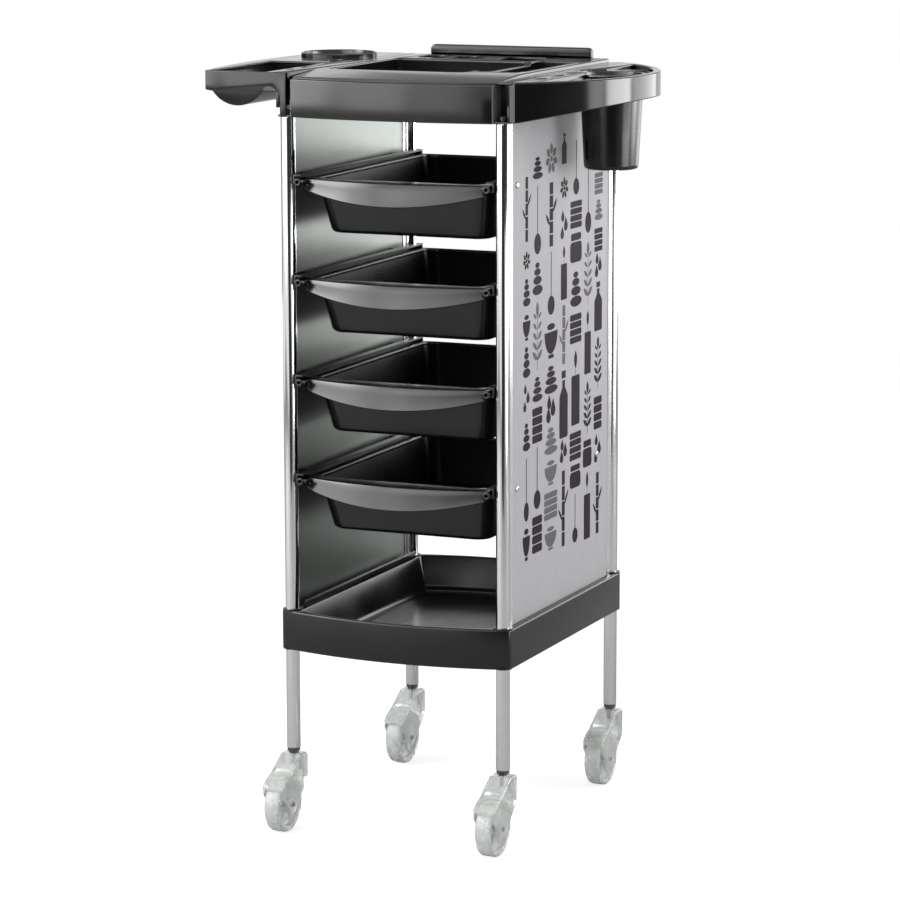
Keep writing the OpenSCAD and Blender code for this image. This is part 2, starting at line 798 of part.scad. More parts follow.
// Hood of a caster: swivels on the pin, covers the wheel and holds the axle
module caster_hood(side, end) {
    inner_w = hood_w - 2 * hood_wall;
    color("lightgray", 0.6) at_caster(side, end) difference() {
        union() {
            along_x(-hood_w / 2, hood_w / 2) hood_side();
            translate([0, 0, hood_top - hood_boss_h]) cylinder(r = hood_boss_r, h = hood_boss_h);
            translate([0, -trail, axle_z]) rod_x(-hood_w / 2, hood_w / 2, cheek_r);
        }
        translate([0, -trail, axle_z]) rod_x(-inner_w / 2, inner_w / 2, hood_bore_r);
        translate([0, 0, hood_top - pin_depth - over])
            cylinder(r = pin_d / 2 + running_fit, h = pin_depth + 2 * over);
        translate([0, -trail, axle_z]) rod_x(-hood_w, hood_w, axle_d / 2 + push_fit);
    }
}

// Axle pin of a caster
module caster_axle(side, end) {
    color("dimgray") at_caster(side, end) translate([0, -trail, axle_z])
        rod_x(-axle_len / 2, axle_len / 2, axle_d / 2);
}

// Turns a wheel profile, drawn in radius and width, about the axle
module turned_wheel(side, end) {
    at_caster(side, end) translate([0, -trail, axle_z]) rotate([0, 90, 0]) rotate_extrude() children();
}

// Clear wheel of a caster, with a hub, a thin web and a rim
module caster_wheel(side, end) {
    bore = axle_d / 2 + running_fit;
    color("white", 0.6) turned_wheel(side, end) {
        translate([bore, -wheel_w / 2]) square([hub_r - bore, wheel_w]);
        translate([bore, -web_half]) square([rim_r - bore, 2 * web_half]);
        translate([rim_r - rim_t, -wheel_w / 2 + rim_side]) square([rim_t, wheel_w - 2 * rim_side]);
    }
}

// Tyre of a caster wheel, with rounded shoulders
module caster_tyre(side, end) {
    half = wheel_w / 2 - tyre_side;
    color("whitesmoke", 0.7) turned_wheel(side, end) {
        translate([rim_r, -half]) square([tyre_t - tyre_round, 2 * half]);
        translate([rim_r, -half + tyre_round]) square([tyre_t, 2 * (half - tyre_round)]);
        for (s = [-1, 1]) translate([wheel_r - tyre_round, s * (half - tyre_round)])
            circle(r = tyre_round);
    }
}

// Corners of the cart, as [name, side, end]
corners = [["front_left", -1, -1], ["front_right", 1, -1], ["rear_left", -1, 1], ["rear_right", 1, 1]];

for (c = corners) post(c[1], c[2]);
post_plugs();
post_bolts();
base_tray();
base_screws();
top_frame();
top_insert();
back_rail();
rail_screws();
side_panel(-1);  // side_panel_left
side_panel(1);  // side_panel_right
for (c = corners) edge_trim(c[1], c[2]);
runner_screws(-1);  // runner_screws_left
runner_screws(1);  // runner_screws_right
for (i = [0:3]) runner(-1, i);
for (i = [0:3]) runner(1, i);
for (i = [0:3]) drawer(i);
left_wing();
right_wing();
wing_screws();
cup();
for (c = corners) caster_stem(c[1], c[2]);
for (c = corners) caster_hood(c[1], c[2]);
for (c = corners) caster_axle(c[1], c[2]);
for (c = corners) caster_wheel(c[1], c[2]);
for (c = corners) caster_tyre(c[1], c[2]);
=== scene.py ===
"""Spa trolley cart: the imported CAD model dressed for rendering.

Shapes are drawn in millimetres about the vertical axis midway between the four posts,
and moved into the row frame, in metres, when a piece is made.
"""
import math
import random

import bmesh
import bpy
from mathutils import Matrix, Vector
from mathutils.geometry import tessellate_polygon


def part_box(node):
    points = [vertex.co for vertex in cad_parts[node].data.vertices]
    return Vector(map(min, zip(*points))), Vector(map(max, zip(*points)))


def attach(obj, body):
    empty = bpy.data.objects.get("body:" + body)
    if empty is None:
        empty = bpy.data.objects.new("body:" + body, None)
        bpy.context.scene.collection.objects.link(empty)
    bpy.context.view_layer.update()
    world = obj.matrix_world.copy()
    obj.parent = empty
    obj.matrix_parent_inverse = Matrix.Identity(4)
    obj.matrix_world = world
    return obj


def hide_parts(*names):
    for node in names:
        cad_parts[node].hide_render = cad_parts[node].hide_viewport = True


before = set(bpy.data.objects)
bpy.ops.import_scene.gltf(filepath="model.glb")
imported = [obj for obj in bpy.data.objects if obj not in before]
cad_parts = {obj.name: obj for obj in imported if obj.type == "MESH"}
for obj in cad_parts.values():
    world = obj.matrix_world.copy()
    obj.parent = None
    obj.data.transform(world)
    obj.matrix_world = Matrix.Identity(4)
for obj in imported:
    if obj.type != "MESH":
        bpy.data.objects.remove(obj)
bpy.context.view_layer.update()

MM = 0.001
CORNERS = ("front_left", "front_right", "rear_left", "rear_right")


def centre_of_posts():
    """The axis midway between the posts, on the floor, in metres."""
    total = Vector((0, 0, 0))
    for corner in CORNERS:
        lo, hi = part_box("post_" + corner)
        total += (Vector(lo) + Vector(hi)) / 2
    return Vector((total.x / 4, total.y / 4, 0))


MID = centre_of_posts()


def span(node):
    """Lowest and highest corner of a CAD node, in millimetres about the middle of the posts."""
    lo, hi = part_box(node)
    return (Vector(lo) - MID) / MM, (Vector(hi) - MID) / MM


# ---------------------------------------------------------------- outlines

def arc(cx, cy, r, start, end, steps):
    """Points on an arc, angles in degrees."""
    angles = [math.radians(start + (end - start) * k / steps) for k in range(steps + 1)]
    return [(cx + r * math.cos(a), cy + r * math.sin(a)) for a in angles]


def circle(cx, cy, r, steps=48):
    """Counter-clockwise circle as a closed loop."""
    return arc(cx, cy, r, 0, 360 * (steps - 1) / steps, steps - 1)


def rounded(points, radius, steps=5):
    """A closed loop with its corners rounded. radius is one number, or one for each corner."""
    radii = radius if isinstance(radius, (list, tuple)) else [radius] * len(points)
    out = []
    for i, point in enumerate(points):
        p = Vector(point)
        u = (Vector(points[i - 1]) - p).normalized()
        v = (Vector(points[(i + 1) % len(points)]) - p).normalized()
        half = u.angle(v) / 2
        if radii[i] <= 0 or half > math.radians(88):
            out.append(tuple(p))
            continue
        centre = p + (u + v).normalized() * radii[i] / math.sin(half)
        reach = radii[i] / math.tan(half)
        first = p + u * reach - centre
        last = p + v * reach - centre
        turn = first.angle_signed(last) * -1
        base = math.atan2(first.y, first.x)
        for k in range(steps + 1):
            a = base + turn * k / steps
            out.append((centre.x + radii[i] * math.cos(a), centre.y + radii[i] * math.sin(a)))
    return out


def rectangle(x0, y0, x1, y1):
    """Counter-clockwise rectangle."""
    return [(x0, y0), (x1, y0), (x1, y1), (x0, y1)]


def raised(loop, z):
    """The loop in 3-D, at height z."""
    return [(x, y, z) for x, y in loop]


def bow_y(x, hx, hy, bow):
    """Distance from the middle of a bowed edge at x."""
    r = (hx * hx + bow * bow) / (2 * bow)
    return hy + bow - r + math.sqrt(r * r - x * x)


def bowed(hx, hy, bow, corner, steps=20):
    """Rectangle with bowed front and rear edges and rounded corners."""
    xs = [-hx + 2 * hx * k / steps for k in range(steps + 1)]
    points = [(x, -bow_y(x, hx, hy, bow)) for x in xs]
    points += [(x, bow_y(x, hx, hy, bow)) for x in reversed(xs)]
    radii = [0] * len(points)
    for i in (0, steps, steps + 1, 2 * steps + 1):
        radii[i] = corner
    return rounded(points, radii)


def inset(loop, depth):
    """The loop moved to its left by depth, which is inward for a counter-clockwise one."""
    if depth == 0:
        return list(loop)
    out = []
    for i, point in enumerate(loop):
        p = Vector(point)
        e1 = (p - Vector(loop[i - 1])).normalized()
        e2 = (Vector(loop[(i + 1) % len(loop)]) - p).normalized()
        n1 = Vector((-e1.y, e1.x))
        n2 = Vector((-e2.y, e2.x))
        middle = (n1 + n2).normalized()
        out.append(tuple(p + middle * depth / max(0.35, middle.dot(n1))))
    return out


def quarter(steps):
    """What the sine and the cosine lack of one, at even steps over a quarter turn."""
    angles = [math.pi / 2 * k / steps for k in range(steps + 1)]
    return [(1 - math.sin(a), 1 - math.cos(a)) for a in angles]


def soft_edge(r, z, above=True, steps=3):
    """Inset and height along a rounded edge of radius r, from the flat face to the wall."""
    return [(r * s, z - r * c if above else z + r * c) for s, c in quarter(steps)]


def mouth(r, z):
    """Steps of a hole's rounded edge, from the flat face down into the hole."""
    return [(-s, height) for s, height in soft_edge(r, z)]


# ---------------------------------------------------------------- forms

class Form:
    """Vertices and faces of one piece, in millimetres."""

    def __init__(self):
        self.verts = []
        self.faces = []
        self.marks = []

    def add(self, verts, faces, mark=0):
        """Adds vertices and faces, with the material slot they take."""
        base = len(self.verts)
        self.verts += [Vector(v) for v in verts]
        self.faces += [tuple(base + i for i in face) for face in faces]
        self.marks += [mark] * len(faces)

    def loft(self, rings, cap_first=True, cap_last=True, closed=True, mark=0):
        """Joins loops of equal length with quads."""
        n = len(rings[0])
        verts = [v for ring in rings for v in ring]
        faces = []
        for k in range(len(rings) - 1):
            for i in range(n if closed else n - 1):
                j = (i + 1) % n
                faces.append((k * n + i, k * n + j, (k + 1) * n + j, (k + 1) * n + i))
        if cap_first:
            faces.append(tuple(reversed(range(n))))
        if cap_last:
            faces.append(tuple(range((len(rings) - 1) * n, len(rings) * n)))
        self.add(verts, faces, mark)

    def cap(self, loops, up=True, mark=0):
        """Fills a face with holes. The loops are lists of 3-D points in one plane."""
        flat = [[Vector(p) for p in loop] for loop in loops]
        verts = [p for loop in flat for p in loop]
        faces = []
        for tri in tessellate_polygon(flat):
            a, b, c = (verts[i] for i in tri)
            rising = (b - a).cross(c - a).z > 0
            faces.append(tuple(tri) if rising == up else tuple(reversed(tri)))
        self.add(verts, faces, mark)

    def moulding(self, outer, profile, holes=(), mark=0):
        """A plate with a rounded rim and holes.

        profile lists (inset, height) from the upper face round the rim to the lower face.
        A hole is (loop, profile, floor), counter-clockwise. Its profile runs down from the
        upper face with insets that shrink the hole. floor is None for a hole that goes
        through, or the loops of the holes in its floor, which go through.
        """
        rings = [raised(inset(outer, s), z) for s, z in profile]
        self.loft(list(reversed(rings)), False, False, mark=mark)
        upper = [rings[0]]
        lower = [rings[-1]]
        low_z = profile[-1][1]
        for loop, steps, floor in holes:
            walls = [raised(inset(loop, s), z) for s, z in steps]
            self.loft([list(reversed(w)) for w in reversed(walls)], False, False, mark=mark)
            upper.append(walls[0])
            if floor is None:
                lower.append(walls[-1])
            else:
                bottom = [walls[-1]]
                z = steps[-1][1]
                for inner in floor:
                    top, base = raised(inner, z), raised(inner, low_z)
                    self.loft([list(reversed(base)), list(reversed(top))], False, False, mark=mark)
                    bottom.append(top)
                    lower.append(base)
                self.cap(bottom, True, mark)
        self.cap(upper, True, mark)
        self.cap(lower, False, mark)

    def slab(self, outer, z0, z1, r=0.8, low_r=None, holes=(), mark=0):
        """A plate of even thickness with rounded edges and through holes."""
        low_r = r if low_r is None else low_r
        profile = soft_edge(r, z1) + list(reversed(soft_edge(low_r, z0, False)))
        cut = [(loop, [(-s, z) for s, z in profile], None) for loop in holes]
        self.moulding(outer, profile, cut, mark)

    def tub(self, loop, z_top, z_floor, wall, slope=0.0, corner=4.0, mark=0):
        """An open box under a plate: it starts at z_top with the loop as its inner edge."""
        steps = [(0, z_top)] + [(slope + corner * c, z_floor + corner * s) for s, c in quarter(4)]
        inner = [raised(inset(loop, s), z) for s, z in steps]
        outer = [raised(inset(loop, s - wall), z - (wall if z < z_top else 0)) for s, z in steps]
        self.loft(list(reversed(inner)), False, False, mark=mark)
        self.loft(outer, False, False, mark=mark)
        self.cap([inner[-1]], True, mark)
        self.cap([outer[-1]], False, mark)

    def turn(self, profile, centre=(0, 0, 0), axis="Z", steps=48, mark=0):
        """Turns a closed profile of (radius, height) about an axis through centre."""
        rings = []
        for k in range(steps):
            a = 2 * math.pi * k / steps
            ring = []
            for r, h in profile:
                p = (r * math.cos(a), r * math.sin(a), h)
                if axis == "X":
                    p = (p[2], p[0], p[1])
                elif axis == "Y":
                    p = (p[0], p[2], p[1])
                ring.append((p[0] + centre[0], p[1] + centre[1], p[2] + centre[2]))
            rings.append(ring)
        rings.append(rings[0])
        self.loft(rings, False, False, mark=mark)

    def move(self, matrix):
        """Moves the whole form."""
        self.verts = [matrix @ v for v in self.verts]
        return self

    def join(self, other, matrix=Matrix.Identity(4)):
        """Adds another form, moved by matrix."""
        base = len(self.verts)
        self.verts += [matrix @ v for v in other.verts]
        flip = matrix.determinant() < 0
        for face, mark in zip(other.faces, other.marks):
            moved = tuple(base + i for i in face)
            self.faces.append(tuple(reversed(moved)) if flip else moved)
            self.marks.append(mark)
        return self


SIDES = ((-1, "left"), (1, "right"))


def mirror(side, end=1):
    """Leaves a form as drawn, or mirrors it left to right (side -1) and front to rear (end -1)."""
    return Matrix.Diagonal((side, end, 1, 1))


def upright_y(y):
    """Turns a form drawn in x and z, with thickness along its third axis, to stand along y."""
    return Matrix(((1, 0, 0, 0), (0, 0, -1, y), (0, 1, 0, 0), (0, 0, 0, 1)))


def upright_x(x):
    """Turns a form drawn in y and z, with thickness along its third axis, to stand along x."""
    return Matrix(((0, 0, 1, x), (1, 0, 0, 0), (0, 1, 0, 0), (0, 0, 0, 1)))


def new_object(name, data):
    """An object with this data, linked to the scene."""
    obj = bpy.data.objects.new(name, data)
    bpy.context.scene.collection.objects.link(obj)
    return obj


def make(name, form, materials, body, nodes=(), angle=32):
    """Makes one piece, lets it ride on a body, and hides the CAD nodes it stands for."""
    mesh = bpy.data.meshes.new(name)
    verts = [tuple(v * MM + MID) for v in form.verts]
    mesh.from_pydata(verts, [], form.faces)
    materials = materials if isinstance(materials, (list, tuple)) else [materials]
    for material in materials:
        mesh.materials.append(material)
    for polygon, mark in zip(mesh.polygons, form.marks):
        polygon.material_index = mark
        polygon.use_smooth = True
    weld(mesh)
    mesh.set_sharp_from_angle(angle=math.radians(angle))
    obj = new_object(name, mesh)
    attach(obj, body)
    if nodes:
        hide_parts(*nodes)
    return obj


def weld(mesh):
    """Merges doubled vertices and turns all faces outward."""
    work = bmesh.new()
    work.from_mesh(mesh)
    bmesh.ops.remove_doubles(work, verts=work.verts, dist=1e-6)
    bmesh.ops.dissolve_degenerate(work, dist=1e-7, edges=work.edges)
    bmesh.ops.recalc_face_normals(work, faces=work.faces)
    work.to_mesh(mesh)
    work.free()


# ---------------------------------------------------------------- materials

def new_material(name, color, roughness, metallic=0.0):
    """A Principled material with its plain numbers on the shader's own sockets."""
    material = bpy.data.materials.new(name)
    material.use_nodes = True
    shader = material.node_tree.nodes["Principled BSDF"]
    shader.inputs["Base Color"].default_value = (*color, 1)
    shader.inputs["Roughness"].default_value = roughness
    shader.inputs["Metallic"].default_value = metallic
    return material, shader


def add_node(tree, kind, **inputs):
    """A node of this kind, with inputs set by their names."""
    node = tree.nodes.new("ShaderNode" + kind)
    for name, value in inputs.items():
        node.inputs[name.replace("_", " ")].default_value = value
    return node


def link(output, socket):
    """Joins an output to an input in the same tree."""
    output.id_data.links.new(output, socket)


def noise(shader, scale, detail=3.0, stretch=(1, 1, 1)):
    """Noise in object coordinates. Scale counts features in a metre."""
    place = add_node(shader.id_data, "TexCoord")
    mapping = add_node(shader.id_data, "Mapping", Scale=stretch)
    texture = add_node(shader.id_data, "TexNoise", Scale=scale, Detail=detail)
    link(place.outputs["Object"], mapping.inputs["Vector"])
    link(mapping.outputs["Vector"], texture.inputs["Vector"])
    return texture.outputs["Fac"]


def remap(value, low, high):
    """Maps the middle of a noise value to the range from low to high."""
    node = add_node(value.id_data, "MapRange", From_Min=0.3, From_Max=0.7, To_Min=low, To_Max=high)
    link(value, node.inputs["Value"])
    return node.outputs["Result"]


def tint(shader, value, dark, light):
    """Mixes two base colours by a noise value."""
    node = add_node(shader.id_data, "Mix")
    node.data_type = "RGBA"
    node.inputs[6].default_value = (*dark, 1)
    node.inputs[7].default_value = (*light, 1)
    link(remap(value, 0, 1), node.inputs[0])
    link(node.outputs[2], shader.inputs["Base Color"])


def grain(shader, value, distance, strength=0.4):
    """Bumps the surface by a noise value. Distance is in metres."""
    bump = add_node(shader.id_data, "Bump", Distance=distance, Strength=strength)
    link(value, bump.inputs["Height"])
    link(bump.outputs["Normal"], shader.inputs["Normal"])


def vary_roughness(shader, value, low, high):
    """Lets a noise value set the roughness, from low to high."""
    link(remap(value, low, high), shader.inputs["Roughness"])


def plastic(name, color, rough, spread=0.05, wave=0.00004, specular=0.5):
    """Moulded plastic with a faint unevenness and light handling marks."""
    material, shader = new_material(name, color, rough)
    shader.inputs["Specular IOR Level"].default_value = specular
    vary_roughness(shader, noise(shader, 14, 5), rough - spread, rough + spread)
    tint(shader, noise(shader, 60, 4), color, tuple(c * 1.04 + 0.002 for c in color))
    grain(shader, noise(shader, 700, 2), wave)
    return material


def metal(name, color, rough, stretch, spread=0.03, wave=0.000006):
    """Metal with fine lines along one direction."""
    material, shader = new_material(name, color, rough, 1.0)
    lines = noise(shader, 900, 2, stretch)
    vary_roughness(shader, lines, rough - spread, rough + spread)
    tint(shader, noise(shader, 30, 3), tuple(c * 0.95 for c in color), color)
    grain(shader, lines, wave, 0.3)
    return material


def clear_plastic(name, color, rough, transmission):
    """Milky clear plastic."""
    material, shader = new_material(name, color, rough)
    shader.inputs["Transmission Weight"].default_value = transmission
    shader.inputs["IOR"].default_value = 1.46
    haze = noise(shader, 90, 3)
    vary_roughness(shader, haze, rough - 0.04, rough + 0.05)
    tint(shader, noise(shader, 40, 2), tuple(c * 0.97 for c in color), color)
    grain(shader, haze, 0.00003)
    return material


CHROME = metal("chrome", (0.74, 0.75, 0.74), 0.08, (1, 1, 0.02))
TRIM = metal("trim_aluminium", (0.90, 0.91, 0.90), 0.24, (1, 1, 0.02))
INNER_SHEET = metal("panel_inner_face", (0.20, 0.215, 0.20), 0.36, (1, 0.3, 1), 0.01, 0.0000001)
ZINC = metal("zinc", (0.55, 0.56, 0.57), 0.32, (1, 1, 1))
AXLE_STEEL = metal("axle_steel", (0.20, 0.20, 0.20), 0.35, (1, 1, 1))
COLLAR_STEEL = metal("collar_steel", (0.10, 0.10, 0.11), 0.35, (1, 1, 0.2))
BASE_BLACK = plastic("base_gloss", (0.007, 0.009, 0.007), 0.22, specular=0.38)
TOP_BLACK = plastic("top_gloss", (0.005, 0.006, 0.005), 0.17, 0.03)
INSERT_BLACK = plastic("insert_gloss", (0.006, 0.007, 0.006), 0.13, 0.02)
# Grey for the top frame's end walls at the slots: painted light, since these walls are the same black
# moulding as the rest of the frame.
SLOT_WALL_PAINTED_LIGHT = plastic("slot_wall_painted_light", (0.125, 0.118, 0.125), 0.40)
WING_BLACK = plastic("wing_gloss", (0.003, 0.004, 0.003), 0.14, 0.02)
DRAWER_BLACK = plastic("drawer_gloss", (0.004, 0.005, 0.004), 0.22, 0.03)
BOLT_BLACK = metal("bolt_black", (0.06, 0.06, 0.065), 0.45, (1, 1, 1))
CUP_BLACK = plastic("cup_gloss", (0.003, 0.004, 0.003), 0.20)
# Darker, duller copy of the drawer plastic for the inside of the bins: painted shade.
BIN_INSIDE_PAINTED_SHADE = plastic("bin_inside_painted_shade", (0.003, 0.004, 0.003), 0.30, specular=0.10)
RUNNER_BLACK = plastic("runner_matt", (0.008, 0.009, 0.008), 0.34, wave=0.00006)
PANEL_FACE = plastic("panel_outer_face", (0.50, 0.49, 0.51), 0.45, specular=0.10)
PRINT_DARK = plastic("print_dark", (0.020, 0.012, 0.019), 0.55, specular=0.05)
PRINT_GREY = plastic("print_grey", (0.15, 0.14, 0.15), 0.55, specular=0.05)
HOOD_CLEAR = clear_plastic("hood_clear", (0.95, 0.97, 0.95), 0.10, 0.78)
WHEEL_CLEAR = clear_plastic("wheel_clear", (0.95, 0.96, 0.95), 0.16, 0.60)
TYRE_CLEAR = clear_plastic("tyre_clear", (0.90, 0.92, 0.91), 0.26, 0.62)


# ---------------------------------------------------------------- sizes taken from the frame

BASE_LO, BASE_HI = span("base_tray")
FRAME_HI = span("top_frame")[1]
INSERT_HI = span("top_insert")[1]
RAIL_LO, RAIL_HI = span("back_rail")
PANEL_LO, PANEL_HI = span("side_panel_right")
TRIM_LO, TRIM_HI = span("edge_trim_front_right")
LEFT_LO, LEFT_HI = span("left_wing")
RIGHT_HI = span("right_wing")[1]
CUP_LO, CUP_HI = span("cup")
POST_LO, POST_HI = span("post_front_right")

POST_X = (POST_LO.x + POST_HI.x) / 2
POST_Y = -(POST_LO.y + POST_HI.y) / 2
POST_R = (POST_HI.x - POST_LO.x) / 2
BASE_BOW = 22
BASE_UPSTAND = 8
FRAME_BOW = 18
FRAME_Z = POST_HI.z
DECK_Z = FRAME_HI.z
FRAME_WALL = 3


def signs(corner):
    """-1 for the left or the front, 1 for the right or the rear."""
    return (-1 if "left" in corner else 1), (-1 if "front" in corner else 1)


# ---------------------------------------------------------------- posts and base tray

def build_posts():
    """Tube posts, open at both ends."""
    wall = 1.5
    edge = 0.5
    for corner in CORNERS:
        side, end = signs(corner)
        lo, hi = span("post_" + corner)
        form = Form()
        form.turn([(POST_R - wall, lo.z), (POST_R - edge, lo.z), (POST_R, lo.z + edge),
                   (POST_R, hi.z - edge), (POST_R - edge, hi.z), (POST_R - wall, hi.z)],
                  (side * POST_X, end * POST_Y, 0))
        make("post_tube_" + corner, form, CHROME, "chassis", ["post_" + corner])


def build_base():
    """Base tray: bowed skirt, bin, ribs beside the panels and collars at the posts."""
    hx, hy = BASE_HI.x, BASE_HI.y - BASE_BOW
    z0, top = BASE_LO.z, BASE_HI.z - BASE_UPSTAND
    bin_hx, bin_hy = POST_X - POST_R - 3, hy - 4
    outline = bowed(hx, hy, BASE_BOW, 5)
    opening = bowed(bin_hx, bin_hy, BASE_BOW, 8)
    profile = soft_edge(2.2, top, steps=4) + list(reversed(soft_edge(1.2, z0, False)))
    profile += [(5, z0), (6, z0 + 1.6)]
    taper, corner = 9, 9
    walls = mouth(2.0, top)
    walls += [(taper + corner * c * 0.9, z0 + 3 + corner * s) for s, c in quarter(5)]
    form = Form()
    form.moulding(outline, profile, [(opening, walls, [])])
    for side in (-1, 1):
        x0 = bin_hx if side > 0 else -bin_hx - 3
        form.slab(rounded(rectangle(x0, -POST_Y + 12, x0 + 3, POST_Y - 12), 1.2), top - 1,
                  BASE_HI.z, 0.9, 0)
        for end in (-1, 1):
            form.turn([(POST_R + 0.1, top - 1), (POST_R + 3.2, top - 1), (POST_R + 3.2, top + 0.9),
                       (POST_R + 2.6, top + 1.5), (POST_R + 0.6, top + 1.5), (POST_R + 0.1, top + 1)],
                      (side * POST_X, end * POST_Y, 0))
            foot = rectangle(POST_R + 0.1, z0, POST_R + 2.6, z0 + 2)
            form.turn([foot[3], *foot[:3]], (side * POST_X, end * POST_Y, 0))
    for y in (-105, -35, 35, 105):
        form.slab(rounded(rectangle(-bin_hx + 14, y - 1.2, bin_hx - 14, y + 1.2), 1), z0, z0 + 2.4,
                  0.4)
    make("base_tray_shell", form, BASE_BLACK, "chassis", ["base_tray"])


# ---------------------------------------------------------------- top

def frame_arc(half, inner, steps=16):
    """Front edge of the top frame from -half to half, moved inward by inner."""
    hx, hy = FRAME_HI.x, FRAME_HI.y - FRAME_BOW
    xs = [-half + 2 * half * k / steps for k in range(steps + 1)]
    return [(x, -bow_y(x, hx, hy, FRAME_BOW) + inner) for x in xs]


def build_top_frame():
    """Top frame with an open slot at each corner. The skirt's end walls at the slots are painted grey:
    painted light on the black moulding.
    """
    slot_x = POST_X - POST_R
    slot_y = POST_Y - 14
    side_x = FRAME_HI.x
    wall = FRAME_WALL

    def ring(dx, inner):
        half = slot_x - dx
        front = frame_arc(half, inner)
        corner = [(slot_x - dx, -slot_y + dx), (side_x - dx, -slot_y + dx)]
        right = corner + [(x, -y) for x, y in reversed(corner)]
        rear = [(x, -y) for x, y in reversed(front)]
        left = [(-x, y) for x, y in reversed(right)]
        loop = front + right + rear + left
        n = len(front)
        radii = [0] * len(loop)
        for i in (0, n - 1, n + 4, 2 * n + 3):
            radii[i] = 1.5
        return rounded(loop, radii, 3)

    form = Form()
    profile = soft_edge(1.2, DECK_Z) + list(reversed(soft_edge(0.8, FRAME_Z, False)))
    hole = [(-s, z) for s, z in profile]
    form.moulding(ring(0, 0), profile, [(ring(wall, wall), hole, None)])
    # Marks the skirt's end walls at the slots for the grey material: painted light.
    for k, face in enumerate(form.faces):
        centre = sum((form.verts[i] for i in face), Vector()) / len(face)
        if abs(abs(centre.x) - slot_x) < 1 and abs(centre.y) > slot_y:
            form.marks[k] = 1
    for side in (-1, 1):
        for end in (-1, 1):
            corner = Form()
            corner.slab(rectangle(slot_x - 3, slot_y - 12, side_x - 0.5, slot_y + 21), FRAME_Z,
                        FRAME_Z + 2.2, 0.4)
            corner.slab(rectangle(slot_x - 2, slot_y - 14, side_x - 0.5, slot_y - 2), FRAME_Z,
                        DECK_Z - 0.6, 0.4)
            form.join(corner, mirror(side, end))
    make("top_frame_shell", form, [TOP_BLACK, SLOT_WALL_PAINTED_LIGHT], "chassis", ["top_frame"])


POCKETS = ((-112.6, -103, 54, 92), (62, -78, 112.6, 112), (6, 100, 52, 164))
LONG_HOLES = (-86, -44)
APRON_DROP = 6
DIVIDER_DROP = 4
INSERT_BOW = 15.3
POCKET_DEPTH = 36


def build_insert():
    """Top insert with its compartments, long holes and sloping apron."""
    hx, hy, bow = INSERT_HI.x, INSERT_HI.y - INSERT_BOW, INSERT_BOW
    z0, z1 = DECK_Z, INSERT_HI.z
    outline = bowed(hx, hy, bow, 3)
    profile = [(2.2, z1), (1.3, z1 - 0.3), (0.7, z1 - 1.0), (0.4, z1 - 2.2), (0.3, z0 + 0.8),
               (0.3, z0), (3.4, z0), (3.4, z1 - 3)]
    holes = []
    form = Form()
    for x0, y0, x1, y1 in POCKETS:
        loop = rounded(rectangle(x0, y0, x1, y1), 7)
        edge = mouth(1.4, z1) + [(0, z1 - 3)]
        holes.append((loop, edge, None))
        form.tub(loop, z1 - 3, z1 - POCKET_DEPTH, 2, 0.4)
    for x in LONG_HOLES:
        y, r, half = POST_Y - 35, 12, 14
        loop = arc(x, y + half, r, 0, 180, 12) + arc(x, y - half, r, 180, 360, 12)
        edge = mouth(1.2, z1) + [(0, z1 - 3)]
        holes.append((loop, edge, None))
    form.moulding(outline, profile, holes)
    apron = POCKETS[0][1] - 1.5
    divide = (-72, -67, 80, 85)
    form = sliced(form, [("y", apron)] + [("y", place) for place in divide])
    front = -hy - bow
    for v in form.verts:
        if v.y < apron and v.z > z0:
            v.z -= APRON_DROP * (v.y - apron) / (front - apron) * (v.z - z0) / (z1 - z0)
        if POCKETS[0][2] - 2 < v.x < POCKETS[1][0] + 2 and divide[0] + 1 < v.y < divide[3] - 1:
            v.z -= DIVIDER_DROP * max(0.0, v.z - (z1 - 8)) / 8
    make("top_insert_shell", form, INSERT_BLACK, "chassis", ["top_insert"])


def sliced(form, cuts):
    """The form with its faces split along planes, given as an axis and a place on it."""
    mesh = bmesh.new()
    verts = [mesh.verts.new(v) for v in form.verts]
    for face, mark in zip(form.faces, form.marks):
        try:
            mesh.faces.new([verts[i] for i in face]).material_index = mark
        except ValueError:
            continue
    for axis, place in cuts:
        normal = Vector([float(axis == a) for a in "xyz"])
        geometry = mesh.verts[:] + mesh.edges[:] + mesh.faces[:]
        bmesh.ops.bisect_plane(mesh, geom=geometry, dist=0.001, plane_co=normal * place, plane_no=normal)
    mesh.verts.index_update()
    out = Form()
    out.verts = [v.co.copy() for v in mesh.verts]
    out.faces = [tuple(v.index for v in face.verts) for face in mesh.faces]
    out.marks = [face.material_index for face in mesh.faces]
    mesh.free()
    return out


def build_rail():
    """Rail across the rear of the top."""
    lo, hi = RAIL_LO, RAIL_HI
    loop = rounded(rectangle(lo.x, lo.z, hi.x, hi.z), [0.8, 0.8, 6, 6])
    form = Form()
    form.slab(loop, 0, hi.y - lo.y, 2.2)
    form.move(upright_y(hi.y))
    make("rear_rail_bar", form, TOP_BLACK, "chassis", ["back_rail"])


# ---------------------------------------------------------------- wings and cup

def wing_edge(reach, sag, half, steps=24):
    """Outer edge of a wing as (x, y), from the front to the rear, bulging by sag."""
    r = (half * half + sag * sag) / (2 * sag)
    turn = math.degrees(math.asin(half / r)) if sag < half else 90
    return arc(reach - r, 0, r, -turn, turn, steps)


def add_bosses(form, root):
    """Bosses for the screws that hold a wing to the frame."""
    for y in (-110, 0, 110):
        form.turn([(2.1, root + 2), (4.5, root + 2), (4.5, root + 8.4), (3.9, root + 9), (2.1, root + 9)],
                  (0, y, DECK_Z - 14), "X", 24)


